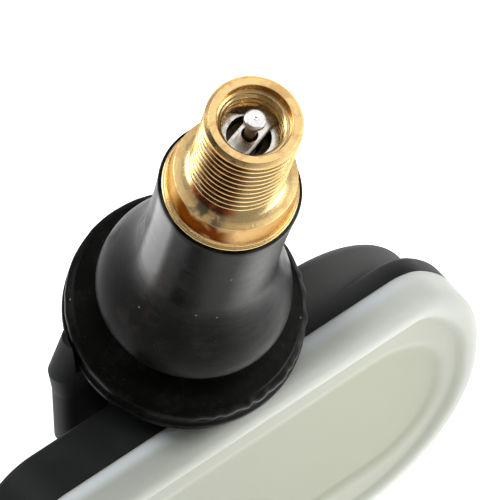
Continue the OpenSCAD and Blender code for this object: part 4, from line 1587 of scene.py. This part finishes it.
@dataclass
class Cover:
    """The milky cover: a shell with a plug lip, a rounded rim, a sunk face and a sunk panel.

    Depths are counted from the world's XZ plane towards the cover's face, in millimetres.

    Attributes:
        body: The body's outline.
        panel: The panel's outline.
        joint: The depth at which the cover meets the housing.
        face: The depth of the rim's crown.
        sunk: The depth of the sunk face.
        floor: The depth of the panel.
        ceiling: The depth of the shell's inner face.
        edge: The radius of the rim's outer edge.
        rim_slope: How far inside the outline the slope up to the crown starts and ends.
        plug_lip: How far inside the outline the lip that plugs into the housing lies.
        lip_end: The depth of that lip's end.
        wall: How far inside the outline the shell's inner wall lies.
        slope: The width of the slope down to the panel.
        fine: Degrees in one step of a turn.
    """

    body: BodyOutline
    panel: PanelOutline
    joint: float = 2.4
    face: float = 6.0
    sunk: float = 5.5
    floor: float = 5.2
    ceiling: float = 3.9
    edge: float = 1.4
    rim_slope: Point = (2.9, 1.65)
    plug_lip: Point = (1.3, 2.1)
    lip_end: float = 1.6
    wall: float = 2.2
    slope: float = 1.7
    fine: float = 4.0

    @staticmethod
    def soft_step(first: Point, last: Point, steps: int = 10) -> list[Point]:
        """Draws an S between two levels.

        Args:
            first: Where it leaves the first level: distance and depth.
            last: Where it meets the other level.
            steps: Its straight pieces.

        Returns:
            The S's points.
        """
        return [(first[0] + (last[0] - first[0]) * i / steps,
                 first[1] + (last[1] - first[1]) * (1 - math.cos(math.pi * i / steps)) / 2)
                for i in range(steps + 1)]

    def wall_section(self) -> list[Point]:
        """Draws the wall's section.

        Returns:
            Distances out from the body's outline, and depths.
        """
        inner, outer = self.rim_slope
        near, far = self.plug_lip
        rim = self.soft_step((-inner, self.sunk), (-outer, self.face))
        crown = arc((-self.edge, self.face - self.edge), self.edge, 90.0, 0.0, 12)
        lip = rounded([(0.0, self.joint + 0.06, 0), (-0.06, self.joint, 0), (-near, self.joint, 0),
                       (-near, self.lip_end, 0.1), (-far, self.lip_end, 0.1), (-far, self.joint, 0),
                       (-self.wall, self.joint, 0.05), (-self.wall, self.ceiling, 0.2),
                       (-inner, self.ceiling, 0)], 15.0)
        return rim + crown + lip

    def panel_section(self) -> list[Point]:
        """Draws the soft slope from the sunk face down to the panel."""
        return self.soft_step((self.slope / 2, self.sunk), (-self.slope / 2, self.floor))

    def sweep(self, name: str, section: Sequence[Point], start: Point,
              legs: Sequence[Leg]) -> bpy.types.Object:
        """Carries a section round an outline, a straight run and a turn at a time.

        Args:
            name: The piece's name.
            section: Distance out from the outline, and depth.
            start: The X and Z at which the outline starts, at the left end of its top.
            legs: The outline's legs.

        Returns:
            The open band, in edit mode.
        """
        places = [Vector((start[0], -depth, start[1] + out)) * MM for out, depth in section]
        piece = Bench.draw_line(name, places)
        for leg in legs:
            if leg.run != (0.0, 0.0):
                run = Vector((leg.run[0], 0.0, leg.run[1])) * MM
                bpy.ops.mesh.extrude_region_move(TRANSFORM_OT_translate={"value": run})
            centre = Vector((leg.centre[0], 0.0, leg.centre[1])) * MM
            bpy.ops.mesh.spin(steps=round(leg.turn / self.fine), angle=-math.radians(leg.turn),
                              center=centre, axis=(0.0, 1.0, 0.0))
        bpy.ops.mesh.select_all(action="SELECT")
        bpy.ops.mesh.remove_doubles(threshold=MERGE)
        return piece

    def pick_rims(self, piece: bpy.types.Object, level: float) -> None:
        """Selects the open edges at one depth.

        Args:
            piece: The piece, in edit mode.
            level: The depth in millimetres.
        """
        bpy.ops.mesh.select_all(action="DESELECT")
        bpy.ops.mesh.select_non_manifold(extend=False)
        bpy.ops.object.mode_set(mode="OBJECT")
        for vertex in piece.data.vertices:
            vertex.select = vertex.select and abs(vertex.co.y + level * MM) < 0.05 * MM
        for edge in piece.data.edges:
            edge.select = edge.select and all(piece.data.vertices[i].select for i in edge.vertices)
        bpy.ops.object.mode_set(mode="EDIT")

    def mark_inset(self, piece: bpy.types.Object) -> None:
        """Stores each vertex's distance in from the body's outline, which the finish reads.

        Args:
            piece: The cover.
        """
        values = piece.data.attributes.new("inset", "FLOAT", "POINT")
        for vertex, value in zip(piece.data.vertices, values.data):
            value.value = self.body.inset(vertex.co.x / MM, vertex.co.z / MM)

    def build(self, material: bpy.types.Material) -> bpy.types.Object:
        """Models the cover and puts it in its node's place.

        Args:
            material: The milky plastic.

        Returns:
            The piece.
        """
        panel_start = (self.panel.corner - self.panel.half_length, self.panel.top)
        inner = self.sweep("cover_panel", self.panel_section(), panel_start, self.panel.legs())
        Bench.clear()
        body_start = (-self.body.blend_x, self.body.height)
        piece = self.sweep("cover_moulded", self.wall_section(), body_start, self.body.legs())
        Bench.clear()
        inner.select_set(True)
        piece.select_set(True)
        bpy.context.view_layer.objects.active = piece
        bpy.ops.object.transform_apply(location=True, rotation=True, scale=True)
        bpy.ops.object.join()
        bpy.ops.object.mode_set(mode="EDIT")
        self.pick_rims(piece, self.sunk)
        bpy.ops.mesh.fill()
        for level in (self.floor, self.ceiling):
            self.pick_rims(piece, level)
            bpy.ops.mesh.edge_face_add()
        Bench.close_up(piece, 50.0)
        self.mark_inset(piece)
        dress(piece, material)
        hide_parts("cover")
        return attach(piece, "sensor")


@dataclass(frozen=True)
class Softbox:
    """A square softbox.

    Attributes:
        name: The light's name.
        place: Where it hangs, in metres.
        size: Its side, in metres.
        power: Its power in watts.
        colour: Its colour.
    """

    name: str
    place: tuple[float, float, float]
    size: float
    power: float
    colour: Colour

    def hang(self, aim: Vector) -> None:
        """Hangs it and turns it towards a place.

        Args:
            aim: The place, in metres.
        """
        data = bpy.data.lights.new(self.name, "AREA")
        data.shape = "SQUARE"
        data.size = self.size
        data.energy = self.power
        data.color = self.colour
        lamp = bpy.data.objects.new(self.name, data)
        lamp.location = self.place
        lamp.rotation_mode = "QUATERNION"
        lamp.rotation_quaternion = (aim - Vector(self.place)).to_track_quat("-Z", "Y")
        bpy.context.scene.collection.objects.link(lamp)


@dataclass
class Studio:
    """The floor, the lights and the camera.

    Attributes:
        azimuth: The camera's turn from -Y towards +X, in degrees.
        elevation: Its height above the horizon, in degrees.
        distance: Its distance from the target, in millimetres.
        lens: Its focal length in millimetres.
        sensor: The width of its sensor.
        clip: The nearest distance that it sees, in metres.
        aim: How far it is moved to its right and up, in millimetres.
        target: What it is turned about, in millimetres.
        floor_size: The floor's side, in metres.
        floor_gap: How far the floor lies below the sensor, in millimetres.
        lit_height: The height that the softboxes face, in metres.
        room: The strength of the room's own light.
        dark_azimuth: The turn of the room's dark side.
        dark_from: The cosine from that side's middle at which the room starts to darken.
        dark_top: The upward share of a direction at which the dark side ends.
        dark_share: How dark it is.
        dark_edge: How quickly it darkens towards its middle.
        dark_roof: How quickly it ends upwards.
        least: What keeps the level share of an upright direction above nothing.
        softboxes: The lights.
    """

    azimuth: float = -37.931
    elevation: float = 55.946
    distance: float = 458.57
    lens: float = 403.54
    sensor: float = 36.0
    clip: float = 0.05
    aim: Point = (1.772, 11.189)
    target: tuple[float, float, float] = (0.0, -2.4, 27.5)
    floor_size: float = 6.0
    floor_gap: float = 0.02
    lit_height: float = 0.03
    room: float = 0.3
    dark_azimuth: float = -85.0
    dark_from: float = 0.5
    dark_top: float = 1.0
    dark_share: float = 0.96
    dark_edge: float = 4.0
    dark_roof: float = 5.0
    least: float = 0.001
    softboxes: tuple[Softbox, ...] = (
        Softbox("right_softbox", (0.3, -0.32, 0.3), 0.24, 0.95, (1.0, 0.99, 0.97)),
        Softbox("back_softbox", (-0.2, 0.33, 0.38), 0.28, 1.5, (0.97, 0.99, 1.0)),
        Softbox("top_softbox", (0.165, 0.03, 0.52), 0.34, 0.37, (1.0, 1.0, 1.0)))

    def camera(self) -> None:
        """Places the camera at the photograph's viewing angle."""
        turn, rise = math.radians(self.azimuth), math.radians(self.elevation)
        level = math.cos(rise)
        back = Vector((math.sin(turn) * level, -math.cos(turn) * level, math.sin(rise)))
        right = Vector((math.cos(turn), math.sin(turn), 0.0))
        up = back.cross(right)
        data = bpy.data.cameras.new("camera")
        data.lens = self.lens
        data.sensor_width = self.sensor
        data.clip_start = self.clip
        camera = bpy.data.objects.new("camera", data)
        place = Vector(self.target) + back * self.distance + right * self.aim[0] + up * self.aim[1]
        camera.location = place * MM
        camera.rotation_mode = "QUATERNION"
        camera.rotation_quaternion = (-back).to_track_quat("-Z", "Y")
        bpy.context.scene.collection.objects.link(camera)
        bpy.context.scene.camera = camera

    def floor(self) -> None:
        """Lays a plain pale floor under the sensor."""
        Bench.clear()
        bpy.ops.mesh.primitive_plane_add(size=self.floor_size,
                                         location=(0.0, 0.0, -self.floor_gap * MM))
        piece = bpy.context.object
        piece.name = "floor"
        recipe = Recipe("pale_floor", Roughness=0.9, Specular_IOR_Level=0.1, Emission_Strength=1.0)
        recipe.feed("Base Color", (0.9, 0.9, 0.9))
        recipe.feed("Emission Color", (1.0, 1.0, 1.0))
        dress(piece, recipe.material)

    def surroundings(self) -> None:
        """Makes a pale room that is dark towards the front left, up to a given height."""
        world = bpy.data.worlds.new("studio")
        world.use_nodes = True
        tree = world.node_tree
        parts = tree.nodes.new("ShaderNodeSeparateXYZ")
        tree.links.new(tree.nodes.new("ShaderNodeTexCoord").outputs["Generated"], parts.inputs[0])
        x, y, z = (Signal(tree, socket) for socket in parts.outputs)
        turn = math.radians(self.dark_azimuth)
        level = (x * x + y * y) ** 0.5 + self.least
        facing = (x * math.sin(turn) - y * math.cos(turn)) / level
        sideways = ((facing - self.dark_from) * self.dark_edge).clamped()
        below = ((self.dark_top - z) * self.dark_roof).clamped()
        strength = self.room * (1.0 - sideways * below * self.dark_share)
        background = tree.nodes["Background"]
        background.inputs["Color"].default_value = (1.0, 1.0, 1.0, 1.0)
        tree.links.new(strength.socket, background.inputs["Strength"])
        bpy.context.scene.world = world

    def build(self) -> None:
        """Sets up the studio."""
        self.camera()
        self.floor()
        self.surroundings()
        bpy.context.scene.view_settings.view_transform = "Standard"
        for softbox in self.softboxes:
            softbox.hang(Vector((0.0, 0.0, self.lit_height)))


def dress_nodes(nodes: dict[str, bpy.types.Object]) -> None:
    """Gives every node that stays its finish.

    Args:
        nodes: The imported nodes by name.
    """
    # The housing gets a painted sheen on its hump.
    black = MouldedPlastic("housing_plastic", (0.008, 0.0085, 0.009), (0.014, 0.0145, 0.015), 0.48,
                           sheen=0.2, hump=0.75).make()
    # The core's brass is made nearly black as painted shade deep inside the bore.
    core_brass = PlainMetal("core_brass", (0.08, 0.06, 0.035), (0.05, 0.038, 0.025), 0.45).make()
    red_seal = MouldedPlastic("red_seal", (0.32, 0.03, 0.02), (0.42, 0.07, 0.05), 0.5).make()
    black_seal = MouldedPlastic("black_seal", (0.015, 0.015, 0.015), (0.03, 0.03, 0.03), 0.55).make()
    zinc = PlainMetal("zinc_plate", (0.5, 0.51, 0.53), (0.36, 0.36, 0.36), 0.35).make()
    board = MouldedPlastic("solder_mask", (0.012, 0.09, 0.04), (0.02, 0.12, 0.06), 0.3, 3.0).make()
    can = PlainMetal("cell_steel", (0.62, 0.62, 0.62), (0.48, 0.48, 0.47), 0.26).make()
    chip = MouldedPlastic("chip_plastic", (0.02, 0.02, 0.022), (0.03, 0.03, 0.03), 0.5, 12.0).make()
    cloth = MouldedPlastic("filter_membrane", (0.72, 0.72, 0.68), (0.62, 0.62, 0.58), 0.8, 20.0).make()
    ferrite = MouldedPlastic("ferrite", (0.03, 0.03, 0.032), (0.05, 0.05, 0.05), 0.6, 10.0).make()
    copper = PlainMetal("enamelled_copper", (0.7, 0.28, 0.12), (0.5, 0.18, 0.08), 0.3).make()
    ceramic = MouldedPlastic("ceramic", (0.3, 0.2, 0.1), (0.4, 0.28, 0.16), 0.5, 9.0).make()
    wear = {
        "housing": black, "core_barrel": core_brass, "core_cup": core_brass, "barrel_seal": red_seal,
        "cup_seal": black_seal, "port_gasket": black_seal, "retaining_screw": zinc,
        "circuit_board": board, "battery_cell": can, "battery_tab_plus": can, "battery_tab_minus": can,
        "crystal": can, "pressure_chip": chip, "port_filter": cloth, "coil_core": ferrite,
        "coil_winding": copper, "antenna": copper, "capacitors": ceramic}
    for name, material in wear.items():
        dress(nodes[name], material)
        LOG.info("dressed %s with %s", name, material.name)


def main() -> None:
    """Builds the sensor's looks around its frame."""
    logging.basicConfig(level=logging.INFO, format="%(message)s")
    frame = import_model()
    Bench.clear()
    axis = StemAxis.from_record(frame["record"], RIM_SEAT)
    Studio().build()
    dress_nodes(frame["nodes"])
    nickel = PlainMetal("nickel_plate", (0.74, 0.72, 0.67), (0.42, 0.38, 0.32), 0.22).make()
    steel = PlainMetal("spring_steel", (0.55, 0.55, 0.56), (0.35, 0.35, 0.36), 0.28).make()
    pieces = [
        BrassStem(axis).build(TurnedBrass(axis).make()),
        RubberStem(axis).build(StemRubber(axis).make()),
        Cover(BodyOutline(), PanelOutline()).build(MilkyPlastic().make()),
        *ValveCore(axis).build(nickel, PinMetal(axis).make(), steel),
    ]
    for piece in pieces:
        LOG.info("built %s with %d faces", piece.name, len(piece.data.polygons))


if __name__ == "__main__":
    main()
